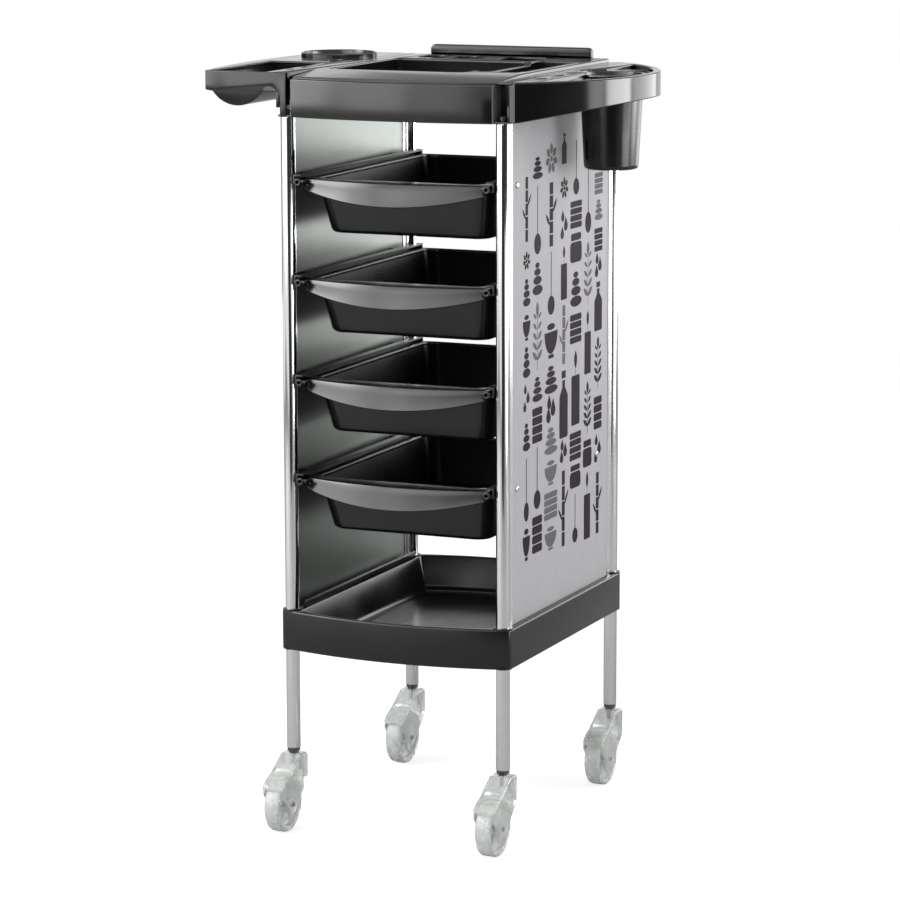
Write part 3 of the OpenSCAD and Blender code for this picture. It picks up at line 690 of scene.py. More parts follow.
LEFT_TOP = LEFT_HI.z - 5
LEFT_REACH, LEFT_HALF = -LEFT_LO.x, LEFT_HI.y
LEFT_SAG, LEFT_SKIRT = 18, 22
LEFT_HOLES = ((149.2, -128, 4), (149.2, -92, 4), (167, 32, 11))
LEFT_MID = 192
TROUGH_R = 35.5
TROUGH_WALL = 2.5
TROUGH_REAR = -8
RING_Y = 96
RING_HOLE_R = 44.5
ROOT = FRAME_HI.x


def build_left_wing():
    """Wing with a trough and a ring, drawn on the right-hand side and then mirrored."""
    tab = LEFT_HALF - 3
    form = Form()
    add_left_plate(form)
    form.slab(rectangle(ROOT - 14, -tab, ROOT + 3, tab), DECK_Z, LEFT_TOP, 0.8)
    add_trough(form)
    add_ring(form)
    add_end_walls(form)
    form.slab(rectangle(ROOT + 0.1, -tab, ROOT + 3, tab), FRAME_Z + 10, LEFT_TOP - 2.6, 0.6)
    add_bosses(form, ROOT)
    form.move(mirror(-1))
    make("trough_wing", form, WING_BLACK, "chassis", ["left_wing"])


def add_left_plate(form):
    """Upper face of the left wing with its openings, and the skirt round it."""
    top, half, wall = LEFT_TOP, LEFT_HALF, 2.6
    edge = wing_edge(LEFT_REACH, LEFT_SAG, half - 0.3)
    radii = [0] + [5] + [0] * (len(edge) - 2) + [5] + [0]
    outline = rounded([(ROOT + 0.1, -half + 0.3)] + edge + [(ROOT + 0.1, half - 0.3)], radii)
    low_z = top - 3
    profile = soft_edge(1.3, top) + [(0, top - 2), (0, top - 9), (0.8, top - 10), (wall - 0.6, top - 10),
                                     (wall, top - 9), (wall, low_z)]
    holes = [(circle(x, y, r, 32), mouth(0.9, top) + [(0, low_z)], None) for x, y, r in LEFT_HOLES]
    trough = rounded(rectangle(LEFT_MID - TROUGH_R, -half + 3, LEFT_MID + TROUGH_R, TROUGH_REAR - 3),
                     1.0, 3)
    holes.append((trough, mouth(1.2, top) + [(0, low_z)], None))
    holes.append((circle(LEFT_MID, RING_Y, RING_HOLE_R, 64), [(0, top), (0, low_z)], None))
    form.moulding(outline, profile, holes)
    for v in form.verts:
        if v.z < top - 8.5:
            v.z -= LEFT_SKIRT - 10


def add_trough(form):
    """Half-round shell under its opening, with a rear wall."""
    rings = {r: [] for r in (TROUGH_R, TROUGH_R + TROUGH_WALL)}
    for r, ring in rings.items():
        section = arc(LEFT_MID, LEFT_TOP - 1, r, 180, 360, 36)
        for y in (-LEFT_HALF + 3, TROUGH_REAR - 3):
            ring.append([(x, y, z) for x, z in section])
        form.loft(ring, False, False, closed=False)
    back = Form()
    back.slab(arc(LEFT_MID, LEFT_TOP - 1, TROUGH_R + TROUGH_WALL, 180, 360, 36), 0, 3, 0.6)
    form.join(back.move(upright_y(TROUGH_REAR)))


def add_ring(form):
    """Ring behind the trough, open through the wing."""
    z0, z1 = LEFT_HI.z - 20, LEFT_HI.z
    r0, r1, e = 42, 45.5, 1.2
    section = [(r0, z0 + e), (r0 + e, z0), (r1 - e, z0), (r1, z0 + e), (r1, z1 - e),
               (r1 - 0.5 * e, z1 - 0.3), (r1 - 1.4, z1), (r0 + 1.4, z1), (r0 + 0.5, z1 - 0.35),
               (r0, z1 - 1.3)]
    form.turn(section, (LEFT_MID, RING_Y, 0), steps=72)


def add_end_walls(form):
    """End walls, each with a foot beside the frame's corner. The front one has the trough's round."""
    foot_in, foot_out, foot_z = ROOT - 10.5, ROOT - 3, FRAME_Z + 1
    low, outer = LEFT_TOP - LEFT_SKIRT, LEFT_REACH - LEFT_SAG - 1.2
    fillet = arc(foot_out + 15, foot_z + 18, 15, 80, 180, 10)
    round_dip = arc(LEFT_MID, LEFT_TOP - 1, TROUGH_R + TROUGH_WALL, 324, 216, 24)
    plain_dip = [(LEFT_MID + 30, low), (LEFT_MID - 30, low)]
    for dip, end in ((round_dip, 1), (plain_dip, -1)):
        loop = [(foot_in, LEFT_TOP - 0.3), (foot_in, foot_z), (foot_out, foot_z)]
        loop += fillet[::-1] + dip[::-1]
        loop += [(outer, low), (outer, LEFT_TOP - 0.3)]
        plate = Form()
        plate.slab(loop, 0, 3, 0.7)
        form.join(plate.move(upright_y(-LEFT_HALF + 3)), mirror(1, end))


CUP_XY = ((CUP_LO.x + CUP_HI.x) / 2, (CUP_LO.y + CUP_HI.y) / 2)
TOOL_RING = (185, 90, 18)
RIGHT_HOLES = ((153, -112, 7), (153, -56, 6), (153, -12, 8))


def build_right_wing():
    """Half-round wing with a recess, tool holes and the seat of the cup."""
    top = RIGHT_HI.z
    reach, half, root, wall = RIGHT_HI.x, RIGHT_HI.y, FRAME_HI.x, 3
    tab = half - 3
    rise = reach - root
    r = (half * half + rise * rise) / (2 * rise)
    turn = math.degrees(math.asin(half / r))
    edge = arc(reach - r, 0, r, -turn, turn, 56)
    cut = 6
    edge = [p for p in edge if p[0] > root + cut]
    outline = [(root + 0.1, -half + 4.8)] + edge + [(root + 0.1, half - 4.8)]
    floor_z, low_z = top - 5, top - 8
    profile = soft_edge(1.4, top) + [(0, top - 2.2), (0, top - 9), (0.8, top - 10), (wall - 0.8, top - 10),
                                     (wall, top - 9), (wall, low_z)]
    # recess: the outer part of the plan, united with the seat of the cup's rim
    cx, cy = reach - r, 0
    rim = r - 9
    recess_x, seat_r = root + 24, 40.4
    a = math.degrees(math.acos((recess_x - cx) / rim))
    b = math.degrees(math.acos((recess_x - CUP_XY[0]) / seat_r))
    recess = arc(cx, cy, rim, -a, a, 56) + arc(CUP_XY[0], CUP_XY[1], seat_r, b, 360 - b, 24)
    inner = [circle(CUP_XY[0], CUP_XY[1], 37.4, 64), circle(*TOOL_RING, 48)]
    steps = mouth(1.6, top) + [(0, floor_z + 0.8), (0.3, floor_z + 0.2), (0.9, floor_z)]
    holes = [(recess, steps, inner)]
    holes += [(circle(x, y, r, 32), mouth(0.9, top) + [(0, low_z)], None) for x, y, r in RIGHT_HOLES]
    form = Form()
    form.moulding(outline, profile, holes)
    foot_z = FRAME_Z + 1
    for v in form.verts:
        if v.z < low_z - 0.5:
            low = foot_z + 18 * max(0.0, (v.x - root - 8) / (reach - root - 8))
            v.z += low - (top - 10)
    form.slab(rectangle(root - 14, -tab, root + 3, tab), DECK_Z, top, 0.8)
    add_bosses(form, root)
    make("cup_wing", form, WING_BLACK, "chassis", ["right_wing"])


def build_cup():
    """Tapered cup with a rim that rests in the wing."""
    lo, hi = CUP_LO.z, CUP_HI.z
    rim = (CUP_HI.x - CUP_LO.x) / 2
    r, foot, wall = rim - 3, rim - 8.5, 2
    outside = [(0.4, lo + 1.2), (foot - 9, lo + 1.2), (foot - 7.6, lo), (foot - 4, lo),
               (foot - 1.6, lo + 0.8), (foot - 0.4, lo + 2.4), (foot, lo + 5), (r, hi - 3),
               (rim - 0.9, hi - 2.5), (rim, hi - 1.6),
               (rim - 0.3, hi - 0.5), (rim - 1.1, hi), (r - wall + 1.2, hi), (r - wall + 0.3, hi - 0.4),
               (r - wall, hi - 1.3), (foot - wall, lo + 7), (foot - wall - 1.6, lo + 3.6),
               (foot - wall - 5, lo + 2.4), (0.4, lo + 2.4)]
    form = Form()
    form.turn(outside, (*CUP_XY, 0), steps=96)
    for z in (lo + 1.2, lo + 2.4):
        form.cap([raised(circle(*CUP_XY, 0.4, 96), z)], z > lo + 2)
    make("tool_cup", form, CUP_BLACK, "cup", ["cup"], 40)


# ---------------------------------------------------------------- panels, runners and drawers

RIM_Z = [span("drawer_%d" % i)[1].z for i in (1, 2, 3, 4)]
SCREW_Y = (-POST_Y + 34, 112)


def build_panels():
    """Side sheets, and the trims along their front and rear edges."""
    for side, name in SIDES:
        form = Form()
        loop = rectangle(-PANEL_HI.y, PANEL_LO.z, PANEL_HI.y, PANEL_HI.z)
        form.slab(rounded(loop, 0.6), 0, 0.7, 0.15, 0, mark=0)
        face = Form()
        face.slab(rounded(loop, 0.6), 0.7, 1.2, 0.2, 0, mark=1)
        form.join(face)
        form.move(upright_x(PANEL_HI.x - 1.2)).move(mirror(side))
        make("panel_sheet_" + name, form, [INNER_SHEET, PANEL_FACE], "chassis", ["side_panel_" + name])
    for corner in CORNERS:
        side, end = signs(corner)
        lo, hi = TRIM_LO, TRIM_HI
        x0, x1, y0, y1 = lo.x, hi.x, lo.y, hi.y
        t = 0.9
        loop = [(x0 + t, y1), (x0, y1 - 0.4), (x0, y0 + 1), (x0 + 1, y0), (x1 - 1, y0), (x1, y0 + 1),
                (x1, y1 - 0.4), (x1 - t, y1), (x1 - t, y0 + 1.2), (x0 + t, y0 + 1.2)]
        form = Form()
        form.slab(loop, lo.z + 0.1, hi.z, 0.15)
        form.move(mirror(side, -end))
        make("panel_trim_" + corner, form, TRIM, "chassis", ["edge_trim_" + corner])


def screw_head(form, x, y, z, r, height):
    """Domed head with a hexagonal socket, facing +x, its seat at x."""
    steps = 30
    dome = ((1, 0), (1, 0.35), (0.92, 0.7), (0.72, 0.93), (0.5, 1))
    rings = [[(x + height * h, p, q) for p, q in circle(y, z, r * share, steps)] for share, h in dome]
    for h in (height, height * 0.3):
        ring = []
        for k in range(steps):
            a = 2 * math.pi * k / steps
            part = (a % (math.pi / 3)) - math.pi / 6
            radius = r * 0.36 / math.cos(part)
            ring.append((x + h, y + radius * math.cos(a), z + radius * math.sin(a)))
        rings.append(ring)
    form.loft(rings, True, True)


def build_screws():
    """Heads of the runners' screws on the side panels."""
    for side, name in SIDES:
        form = Form()
        for y in SCREW_Y:
            for z in (RIM_Z[0] - 1, RIM_Z[3] - 1):
                screw_head(form, PANEL_HI.x, y, z, 3.7, 2.4)
        form.move(mirror(side))
        make("panel_screws_" + name, form, ZINC, "chassis", ["runner_screws_" + name])


def build_runners():
    """Channels that guide the drawers, with end stops and screw bosses."""
    lo, hi = span("runner_right_1")
    web, x_in = hi.x, lo.x
    web_out = POST_X - POST_R - 0.6
    front, rear = lo.y, hi.y
    for i in range(4):
        rim = RIM_Z[i]
        low, high = rim - 6.4, rim + 5
        for side, name in SIDES:
            form = Form()
            channel = [(x_in, low), (web_out - 1, low), (web_out, low + 1), (web_out, high - 1),
                       (web_out - 1, high), (x_in, high), (x_in, high - 1.9), (web_out - 2.6, high - 1.9),
                       (web_out - 2, high - 2.5), (web_out - 2, low + 2.5), (web_out - 2.6, low + 1.9),
                       (x_in, low + 1.9)]
            bar = Form()
            bar.slab(channel, 0, rear - front - 2, 0.35)
            form.join(bar.move(upright_y(rear - 2)))
            end_stop = Form()
            end_stop.slab(rounded(rectangle(x_in, low, web_out, high), 1), 0, 2.2, 0.5)
            form.join(end_stop.move(upright_y(rear)))
            for y in SCREW_Y:
                form.turn([(0.3, web_out - 0.5), (5, web_out - 0.5), (5, web - 0.6), (4.4, web), (0.3, web)],
                          (0, y, rim - 1), "X", 28)
            form.move(mirror(side))
            make("runner_rail_%s_%d" % (name, i + 1), form, RUNNER_BLACK, "chassis",
                 ["runner_%s_%d" % (name, i + 1)])


BIN_HX = 108
BIN_SIDE_TAPER, BIN_FRONT_TAPER, BIN_REAR_TAPER = 9, 18, 12
LIP_END, LIP_SWELL, LIP_FLARE = 11.5, 14.5, 8.0


def build_drawers():
    """Drawers: rim plate, bin, handle lip and eyes."""
    half_tongue = span("drawer_1")[1].x
    lip_hx = 113
    lip_y = -POST_Y + 3
    bow, lip_t = 20, 3
    front, rear = -POST_Y + 14, span("drawer_1")[1].y
    for i in range(4):
        rim = RIM_Z[i]
        node = "drawer_%d" % (i + 1)
        low = span(node)[0].z
        form = Form()
        # rim plate with the opening of the bin, and the bin under it
        open_loop = rounded(rectangle(-105.5, front + 2.5, 105.5, rear - 2.5), 16.5, 10)
        plate = rounded(rectangle(-half_tongue, front, half_tongue, rear), 2, 3)
        profile = soft_edge(1.0, rim) + list(reversed(soft_edge(1.0, rim - 4, False)))
        form.moulding(plate, profile, [(open_loop, mouth(1.1, rim) + [(0, rim - 4)], None)])
        bin_rings(form, rim - 3.8, low, front, rear)
        # lip: a bowed band with a smiling lower edge, rounded at its ends
        form.join(drawer_lip(rim, lip_hx, lip_y, bow, lip_t, front))
        corner = drawer_eye(half_tongue - 5, rim, front)
        for side in (1, -1):
            form.join(corner, mirror(side))
        # Slot 1 is the darker copy of the drawer plastic on the bin's inside walls: painted shade.
        make("drawer_bin_%d" % (i + 1), form, [DRAWER_BLACK, BIN_INSIDE_PAINTED_SHADE], node, [node])


def drawer_eye(x, rim, front):
    """Eye at a front corner of a drawer, on a short stalk from the rim plate."""
    face = span("runner_right_1")[0].y - 0.4
    z = rim - 3.2
    form = Form()
    form.slab(circle(x, z, 4.4, 32), 0, 4.6, 0.9, holes=[circle(x, z, 1.8, 24)])
    form.move(upright_y(face))
    form.slab(rectangle(x - 7.5, face - 3.6, x - 3, front + 3), rim - 4, rim - 0.4, 0.6)
    return form


def bin_rings(form, top, low, front, rear):
    """Outside and inside of a drawer's bin, with tapered walls and round corners."""
    wall, foot, corner = 2.5, 5, 19
    depth = top - low

    def ring(z, grow, radius):
        t = (top - z) / depth
        x = BIN_HX - BIN_SIDE_TAPER * t + grow
        y0 = front + BIN_FRONT_TAPER * t - grow
        y1 = rear - BIN_REAR_TAPER * t + grow
        return raised(rounded(rectangle(-x, y0, x, y1), radius + grow, 10), z)

    outside = [ring(top, 0, corner), ring(low + foot, 0, corner)]
    inside = [ring(top, -wall, corner), ring(low + foot + wall, -wall, corner)]
    for s, c in quarter(5)[1:]:
        shrink, z = -foot * c, low + foot * s
        outside.append(ring(z, shrink, corner))
        inside.append(ring(z + wall, shrink - wall, corner))
    form.loft(outside, False, True)
    # The inside walls take material slot 1, the darker copy of the drawer plastic: painted shade.
    form.loft([list(reversed(r)) for r in inside], False, True, mark=1)


def drawer_lip(rim, half, y_mid, bow, thick, y_back):
    """Handle lip across the front of a drawer: bowed, flared forward and deepest in the middle."""
    steps, columns = 56, []
    r = (half * half + bow * bow) / (2 * bow)
    for k in range(steps + 1):
        s = -math.cos(math.pi * k / steps)
        x = half * s
        y = y_mid - bow + r - math.sqrt(r * r - x * x)
        end = min(1.0, (1 - abs(s)) * half / 5.0)
        swell = math.sqrt(max(0.0, 1 - (1 - end) ** 2))
        height = (LIP_END + LIP_SWELL * (1 - s * s)) * (0.4 + 0.6 * swell)
        top = rim - 0.2 - (1 - swell) * 3
        low = top - height
        flare = LIP_FLARE * height / (LIP_END + LIP_SWELL)
        back = max(y + thick + 1, y_back + 1)
        band = [(y - flare * share, top - height * drop) for share, drop in ((0.30, 0.35), (0.68, 0.70))]
        section = [(y + 1.6, top), (y + 0.6, top - 0.25), (y, top - 1.1)] + band
        section += [(y - flare + ahead, low + up) for ahead, up in
                    ((0, 1.2), (0.3, 0.4), (1.0, 0), (thick - 1.2, 0), (thick - 0.5, 0.6))]
        section += [(p + thick, q) for p, q in reversed(band)]
        section += [(y + thick, top - 2.6), (y + thick + 0.6, top - 2.2), (back, top - 2.2), (back, top)]
        columns.append([(x, p, q) for p, q in section])
    form = Form()
    form.loft(columns, True, True)
    return form


# ---------------------------------------------------------------- print on the side panels

def ellipse(cx, cy, rx, ry, steps=28):
    """Counter-clockwise ellipse as a closed loop."""
    return [(cx + rx * math.cos(2 * math.pi * k / steps), cy + ry * math.sin(2 * math.pi * k / steps))
            for k in range(steps)]


def lens(cx, cy, length, width, lean=0.0, steps=10):
    """Leaf shape with pointed ends. lean turns it, in degrees."""
    points = []
    for k in range(steps + 1):
        t = -1 + 2 * k / steps
        points.append((width / 2 * (1 - t * t), length / 2 * t))
    for k in range(1, steps):
        t = 1 - 2 * k / steps
        points.append((-width / 2 * (1 - t * t), length / 2 * t))
    a = math.radians(lean)
    return [(cx + x * math.cos(a) - y * math.sin(a), cy + x * math.sin(a) + y * math.cos(a))
            for x, y in points]


# Each motif returns closed loops that stand on zero within a width and a height.

def block(half, low, high, radius, steps=3):
    """Upright block with rounded corners."""
    return rounded(rectangle(-half, low, half, high), radius, steps)


def bottle(w, h):
    neck = w * 0.16
    right = [(w / 2, 0), (w / 2, h * 0.62), (neck, h * 0.76), (neck, h * 0.86)]
    body = [(-w / 2, 0)] + right + [(-x, z) for x, z in right[:0:-1]]
    return [rounded(body, [w * 0.1, w * 0.1, w * 0.2, 1, 0, 0, 1, w * 0.2], 4),
            rectangle(-neck * 1.5, h * 0.89, neck * 1.5, h)]


def jar(w, h):
    return [block(w / 2, 0, h * 0.7, w * 0.16, 4), block(w * 0.44, h * 0.75, h, w * 0.08)]


def sprig(w, h):
    loops = [rectangle(-0.5, 0, 0.5, h * 0.86), lens(0, h * 0.88, h * 0.24, w * 0.28)]
    for k in range(5):
        z = h * (0.16 + 0.15 * k)
        size = w * (0.62 - 0.06 * k)
        loops.append(lens(w * 0.24, z + size * 0.2, size, size * 0.36, -55))
        loops.append(lens(-w * 0.24, z + size * 0.2, size, size * 0.36, 55))
    return loops


def candle(w, h):
    return [block(w * 0.36, 0, h * 0.66, w * 0.06),
            rectangle(-0.35, h * 0.67, 0.35, h * 0.74), lens(0, h * 0.87, h * 0.24, w * 0.26)]


def stones(w, h):
    loops, z = [], 0
    for share, tall in ((1.0, 0.30), (0.82, 0.26), (0.62, 0.22), (0.42, 0.17)):
        ry = h * tall / 2
        loops.append(ellipse(w * 0.04 * (share - 0.7), z + ry, w / 2 * share, ry * 0.96))
        z += ry * 2
    return loops


def flower(w, h):
    r = min(w, h) / 2
    loops = [ellipse(0, h / 2, r * 0.2, r * 0.2)]
    for k in range(7):
        a = 360 / 7 * k
        x = -math.sin(math.radians(a)) * r * 0.62
        z = h / 2 + math.cos(math.radians(a)) * r * 0.62
        loops.append(lens(x, z, r * 0.74, r * 0.46, a))
    return loops


def bamboo(w, h):
    loops = [block(w * 0.17, h * k / 5, h * k / 5 + h / 5 - 1.4, 0.7, 2) for k in range(5)]
    loops.append(lens(w * 0.34, h * 0.62, h * 0.26, w * 0.17, -38))
    loops.append(lens(-w * 0.34, h * 0.42, h * 0.24, w * 0.16, 40))
    return loops


def bowl(w, h):
    half = [(x, z * h / w * 1.2 + h * 0.72) for x, z in arc(0, 0, w / 2, 180, 360, 20)]
    return [half, block(w * 0.2, 0, h * 0.1, 0.5, 2), ellipse(0, h * 0.86, w * 0.3, h * 0.09)]


def towels(w, h):
    return [block(w / 2, h * k / 4, h * k / 4 + h / 4 - 1.2, h * 0.07, 4) for k in range(4)]


def drops(w, h):
    loops = []
    for x, z, r in ((-0.22, 0.22, 0.2), (0.2, 0.5, 0.22), (-0.16, 0.8, 0.18)):
        r *= w
        point = [(x * w, z * h + r * 1.9)]
        loops.append(point + arc(x * w, z * h, r, 145, 395, 18))
    return loops


def ladle(w, h):
    return [ellipse(0, h * 0.16, w * 0.34, h * 0.15), block(0.9, h * 0.29, h, 0.8)]


def column_of_motifs(chooser, middle, width, low, high):
    """Motifs one above another, as (loop, dark) in y and z."""
    shapes = (bottle, jar, sprig, candle, stones, flower, bamboo, bowl, towels, drops, ladle)
    slim = (bamboo, ladle, sprig, bottle, candle)
    out, z, last = [], low, None
    while high - z > 26:
        shape = chooser.choice([s for s in shapes if s is not last])
        tall = chooser.uniform(58, 92) if shape in slim else chooser.uniform(24, 44)
        tall = min(tall, high - z)
        wide = min(width, tall * (0.42 if shape in slim else 1.25))
        dark = chooser.random() < 0.72 and z < high - 120 or chooser.random() < 0.4
        for loop in shape(wide, tall):
            out.append(([(middle + x, z + up) for x, up in loop], dark))
        z += tall + chooser.uniform(5, 9)
        last = shape
    return out


PRINT_Y = (-117, 130)
PRINT_Z = (306, 808)


def build_print():
    """Columns of motifs on both side panels, a hair proud of the sheet."""
    widths = (22, 30, 40, 26, 36, 28, 26)
    gap = (PRINT_Y[1] - PRINT_Y[0] - sum(widths)) / (len(widths) - 1)
    for side, name in SIDES:
        chooser = random.Random(5 + side)
        form = Form()
        y = PRINT_Y[0]
        for width in widths:
            low = PRINT_Z[0] + chooser.uniform(0, 22)
            high = PRINT_Z[1] - chooser.uniform(0, 18)
            for loop, dark in column_of_motifs(chooser, y + width / 2, width, low, high):
                front = [[(PANEL_HI.x + 0.12, p, q) for p, q in loop]]
                back = [[(PANEL_HI.x - 0.05, p, q) for p, q in loop]]
                form.loft([back[0], front[0]], True, True, mark=0 if dark else 1)
            y += width + gap
        form.move(mirror(side))
        make("panel_print_" + name, form, [PRINT_DARK, PRINT_GREY], "chassis")


# ---------------------------------------------------------------- casters

def temporary(form):
    """A form as an object that only serves to cut."""
    mesh = bpy.data.meshes.new("cut")
    mesh.from_pydata([tuple(v) for v in form.verts], [], form.faces)
    weld(mesh)
    return new_object("cut", mesh)


def carve(form, *cutters):
    """The form with other forms cut away from it."""
    target = temporary(form)
    tools = [temporary(cutter) for cutter in cutters]
    for tool in tools:
        cut = target.modifiers.new("cut", "BOOLEAN")
        cut.operation = "DIFFERENCE"
        cut.solver = "EXACT"
        cut.object = tool
    result = target.evaluated_get(bpy.context.evaluated_depsgraph_get()).to_mesh()
    out = Form()
    out.add([v.co for v in result.vertices], [tuple(p.vertices) for p in result.polygons])
    for obj in [target] + tools:
        mesh = obj.data
        bpy.data.objects.remove(obj)
        bpy.data.meshes.remove(mesh)
    return out


def rod(radius, low, high, axis, centre=(0, 0, 0), edge=0.4, steps=40):
    """Plain round rod with broken edges."""
    form = Form()
    form.turn([(0, low), (radius - edge, low), (radius, low + edge), (radius, high - edge),
               (radius - edge, high), (0, high)], centre, axis, steps)
    return form


def hood_outline(hood_r, reach, top, heel, boss):
    """Side view of a caster's hood about the axle, in y and z, the post on the far side."""
    brow = math.degrees(math.asin(24.8 / hood_r))
    loop = [(-5.5, -11), (5.5, -11), (11, -5.5), (reach, heel), (reach, top - 3), (reach - 3, top),
            (reach - 2 * boss + 3, top)]
    loop += arc(0, 0, hood_r, 104, 180 - brow, 10)
    loop += [(-26.5, 15), (-11, -3)]
    radii = [3, 3, 3, 4, 1.2, 1.2, 2] + [0] * 11 + [3, 4]
    return rounded(loop, radii, 4)


def build_casters():
    """Casters: hood, axle, stem and wheel at each corner."""
    boss = 11
    for corner in CORNERS:
        side, end = signs(corner)
        wheel, tyre, hood, axle, stem = (span("caster_%s_%s" % (part, corner))
                                         for part in ("wheel", "tyre", "hood", "axle", "stem"))
        hub = (wheel[0] + wheel[1]) / 2
        post = Vector((side * POST_X, end * POST_Y, 0))
        trail, top = post.y - hub.y, hood[1].z - hub.z
        half = (hood[1].x - hood[0].x) / 2
        body = Form()
        body.slab(hood_outline(hood[1].z - 17 - hub.z, trail + boss, top, 22, boss), -half, half, 2.2)
        body.move(upright_x(0))
        hollow = rod(34.6, -half + 2.1, half - 2.1, "X", edge=0.8, steps=72)
        bore = rod(3.05, -half - 1, half + 1, "X", steps=24)
        pin_hole = rod(4.4, 30, 60, "Z", (0, trail, 0), steps=28)
        cover = carve(body, hollow, bore, pin_hole)
        cover.turn([(4.4, top - 0.1), (boss - 2.4, top - 0.1), (boss - 2.4, top - 0.02), (4.4, top - 0.02)],
                   (0, trail, 0), steps=40)
        cover.move(Matrix.Translation(hub))
        swivel, roll = "caster_" + corner, "wheel_" + corner
        make("caster_cover_" + corner, cover, HOOD_CLEAR, swivel, ["caster_hood_" + corner],
             40)
        pin = rod(3, axle[0].x - hub.x, axle[1].x - hub.x, "X", edge=0.6, steps=28)
        pin.move(Matrix.Translation(hub))
        make("caster_pin_" + corner, pin, AXLE_STEEL, swivel, ["caster_axle_" + corner])
        make("caster_post_" + corner, stem_form(post, stem[0].z, stem[1].z), COLLAR_STEEL, "chassis",
             ["caster_stem_" + corner])
        build_wheel(corner, hub, (wheel[1].x - wheel[0].x) / 2, (tyre[1].z - tyre[0].z) / 2, roll)


def stem_form(post, low, high):
    """Stem of a caster, with the collar that fills the end of the post."""
    form = Form()
    top = POST_LO.z
    form.turn([(0, low), (3.4, low), (4, low + 0.6), (4, top - 6.4), (4.6, top - 6), (5.6, top - 6),
               (5.6, top - 4.6), (6.4, top - 4.2), (7.0, top - 4), (7.4, top - 3.5), (7.4, top - 0.6),
               (6.9, top), (6.3, top), (6.3, high - 0.8), (5.5, high), (0, high)],
              (post.x, post.y, 0), steps=40)
    return form


def both_sides(profile):
    """A turned profile completed with its mirror image."""
    return profile + [(r, -h) for r, h in reversed(profile)]


def build_wheel(corner, hub, half, radius, body):
    """Wheel disc with spokes, and its tyre."""
    wheel = Form()
    rim, hub_end = -half + 1.4, -half
    disc = [(3.3, hub_end + 0.5), (3.8, hub_end), (7.2, hub_end), (8, hub_end + 0.8), (8.6, -3), (10, -2),
            (23, -2), (24.4, -2.8), (25, -4), (25, hub_end + 2), (25.6, rim), (27.95, rim)]
    wheel.turn(both_sides(disc), (0, 0, 0), "X", 72)
    for k in range(6):
        spoke = Form()
        spoke.slab(rounded([(7.8, -1), (25.2, -1), (25.2, 1), (7.8, 1)], 0.3, 2), -5, 5, 0.5)
        wheel.join(spoke, Matrix.Rotation(math.radians(60 * k), 4, "X") @ upright_x(0))
    wheel.move(Matrix.Translation(hub))
    make("caster_disc_" + corner, wheel, WHEEL_CLEAR, body, ["caster_wheel_" + corner], 40)
    tyre = Form()
    side = 1 - half
    tread = [(28, side + 0.6), (28.8, side), (30.6, side), (radius - 0.9, side + 0.8),
             (radius - 0.2, side + 2.2), (radius, side + 4)]
    tyre.turn(both_sides(tread), (0, 0, 0), "X", 96)
    tyre.move(Matrix.Translation(hub))
    make("caster_tread_" + corner, tyre, TYRE_CLEAR, body, ["caster_tyre_" + corner], 40)


# ---------------------------------------------------------------- stage, light and camera

FLOOR_COLOUR = (0.55, 0.55, 0.55)
FLOOR_SEEN = 0.68  # emission that only the camera sees
WORLD_LIGHT, WORLD_SEEN = 0.55, 1.0


def build_floor():
    """Pale floor that stays white for the camera and keeps the shadow."""
    mesh = bpy.data.meshes.new("floor")
    half = 3.2
    mesh.from_pydata(raised(rectangle(-half, -half, half, half), 0), [], [(0, 1, 2, 3)])
    material, shader = new_material("floor_white", FLOOR_COLOUR, 0.9)
    shader.inputs["Specular IOR Level"].default_value = 0.0
    grain(shader, noise(shader, 40, 2), 0.0002)
    path = add_node(shader.id_data, "LightPath")
    scale = add_node(shader.id_data, "Math")
    scale.operation = "MULTIPLY"
    scale.inputs[1].default_value = FLOOR_SEEN
    link(path.outputs["Is Camera Ray"], scale.inputs[0])
    shader.inputs["Emission Color"].default_value = (1, 1, 1, 1)
    link(scale.outputs[0], shader.inputs["Emission Strength"])
    mesh.materials.append(material)
    floor = new_object("floor", mesh)
    floor.location.z = -0.0005


def softbox(name, azimuth, elevation, distance, width, height, radiance, diffuse=True, glossy=True):
    """Area lamp aimed at the object. Azimuth 0 is in front of it and 90 at its right side."""
    lamp = bpy.data.lights.new(name, "AREA")
    lamp.shape = "RECTANGLE"
    lamp.size = width
    lamp.size_y = height
    lamp.energy = radiance * math.pi * width * height
    obj = new_object(name, lamp)
    a, e = math.radians(azimuth), math.radians(elevation)
    target = Vector((0, 0, 0.6))
    back = Vector((math.sin(a) * math.cos(e), -math.cos(a) * math.cos(e), math.sin(e)))
    obj.location = target + back * distance
    obj.rotation_euler = (-back).to_track_quat("-Z", "Y").to_euler()
    obj.visible_camera = False
    obj.visible_diffuse = diffuse
    obj.visible_glossy = glossy


def card(name, azimuth, distance, width, z0, z1, level=0.0):
    """Card of an even level that shows in reflections only."""
    a = math.radians(azimuth)
    mesh = bpy.data.meshes.new(name)
    x, y = math.sin(a) * distance, -math.cos(a) * distance
    dx, dy = math.cos(a) * width / 2, math.sin(a) * width / 2
    corners = [(x - dx, y - dy, z0), (x + dx, y + dy, z0), (x + dx, y + dy, z1), (x - dx, y - dy, z1)]
    mesh.from_pydata(corners, [], [(0, 1, 2, 3)])
    material, shader = new_material(name, (0.01, 0.01, 0.01), 0.9)
    shader.inputs["Emission Color"].default_value = (1, 1, 1, 1)
    shader.inputs["Emission Strength"].default_value = level
    grain(shader, noise(shader, 40, 2), 0.0002)
    mesh.materials.append(material)
    obj = new_object(name, mesh)
    obj.visible_camera = False
    obj.visible_diffuse = False
    obj.visible_shadow = False
    obj.visible_transmission = False


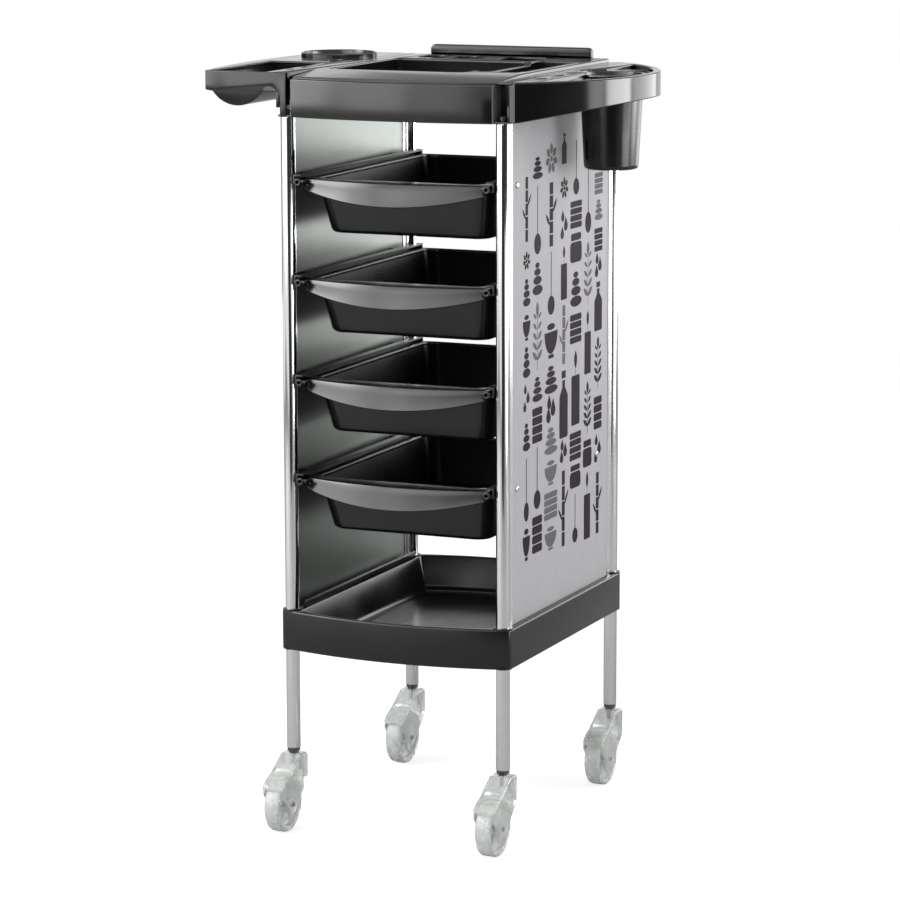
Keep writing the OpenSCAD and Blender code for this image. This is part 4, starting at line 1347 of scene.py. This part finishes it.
def build_light():
    """Lamps, cards and world. The narrow lamps and the cards shape what the gloss reflects."""
    softbox("softbox_front_left", -52, 20, 2.6, 1.3, 2.3, 4.4)
    softbox("softbox_front", -27, 14, 2.7, 0.9, 1.9, 2.9)
    softbox("softbox_front_edge", -9, 14, 2.7, 0.7, 1.9, 1.4)
    softbox("softbox_high_left", -60, 34, 2.5, 1.1, 0.9, 7.5, diffuse=False)
    softbox("softbox_high_front", -8, 36, 2.6, 1.6, 1.0, 2.4, diffuse=False)
    softbox("softbox_top", 20, 74, 2.4, 1.4, 1.4, 1.0)
    softbox("softbox_right", 118, 9, 2.6, 1.05, 1.5, 10.0, diffuse=False)
    softbox("softbox_right_side", 98, 9, 2.6, 0.5, 1.5, 3.0, diffuse=False)
    softbox("softbox_right_low", 84, -8, 2.6, 1.3, 0.4, 6.0, diffuse=False)
    softbox("softbox_right_back", 150, 9, 2.7, 1.75, 1.6, 2.8, diffuse=False)
    softbox("fill_right", 104, 12, 2.6, 1.0, 1.5, 4.5, glossy=False)
    card("dark_card_front", 26, 2.2, 1.65, 0.0, 0.85)
    card("dark_card_right", 68, 2.2, 1.96, 0.47, 1.0)
    card("dark_card_left_back", -116, 2.4, 1.8, 0.3, 1.3)
    card("grey_card_back", 203, 3.3, 3.6, 1.46, 3.4, 0.25)
    build_world()


def build_world():
    """Even white light, brighter where the camera, a reflection or clear plastic shows it."""
    world = bpy.data.worlds.new("studio")
    world.use_nodes = True
    tree = world.node_tree
    tree.nodes.clear()
    path = add_node(tree, "LightPath")
    plain = add_node(tree, "Background", Color=(1, 1, 1, 1), Strength=WORLD_LIGHT)
    white = add_node(tree, "Background", Color=(1, 1, 1, 1), Strength=WORLD_SEEN)
    seen = path.outputs["Is Camera Ray"]
    for name in ("Is Glossy Ray", "Is Transmission Ray"):
        either = add_node(tree, "Math")
        either.operation = "MAXIMUM"
        link(seen, either.inputs[0])
        link(path.outputs[name], either.inputs[1])
        seen = either.outputs[0]
    mix = add_node(tree, "MixShader")
    out = add_node(tree, "OutputWorld")
    for k, output in enumerate((seen, plain.outputs[0], white.outputs[0])):
        link(output, mix.inputs[k])
    link(mix.outputs[0], out.inputs["Surface"])
    bpy.context.scene.world = world


CAMERA_PLACE = (1.69195, -3.90200, 1.17544)
CAMERA_TURN, CAMERA_TILT, CAMERA_ROLL = 23.52, 80.0, -0.13
CAMERA_LENS = 146.76


def build_camera():
    """Camera at the viewing angle, and the plain view transform."""
    lens_data = bpy.data.cameras.new("camera")
    lens_data.lens = CAMERA_LENS
    lens_data.sensor_width = 36
    lens_data.clip_end = 50
    camera = new_object("camera", lens_data)
    turn = Matrix.Rotation(math.radians(CAMERA_TURN), 4, "Z")
    tilt = Matrix.Rotation(math.radians(CAMERA_TILT), 4, "X")
    roll = Matrix.Rotation(math.radians(CAMERA_ROLL), 4, "Z")
    camera.matrix_world = Matrix.Translation(Vector(CAMERA_PLACE) + MID) @ turn @ tilt @ roll
    bpy.context.scene.camera = camera
    bpy.context.scene.view_settings.view_transform = "Standard"


def dress_hidden_parts():
    """Materials for the CAD nodes that stay as they are."""
    hidden = dict.fromkeys(("post_bolts", "base_screws", "rail_screws", "wing_screws"), BOLT_BLACK)
    hidden["post_plugs"] = RUNNER_BLACK
    for node, material in hidden.items():
        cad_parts[node].data.materials.clear()
        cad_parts[node].data.materials.append(material)


for build in (build_posts, build_base, build_top_frame, build_insert, build_rail, build_left_wing,
              build_right_wing, build_cup, build_panels, build_print, build_screws, build_runners,
              build_drawers, build_casters, dress_hidden_parts, build_floor, build_light, build_camera):
    build()
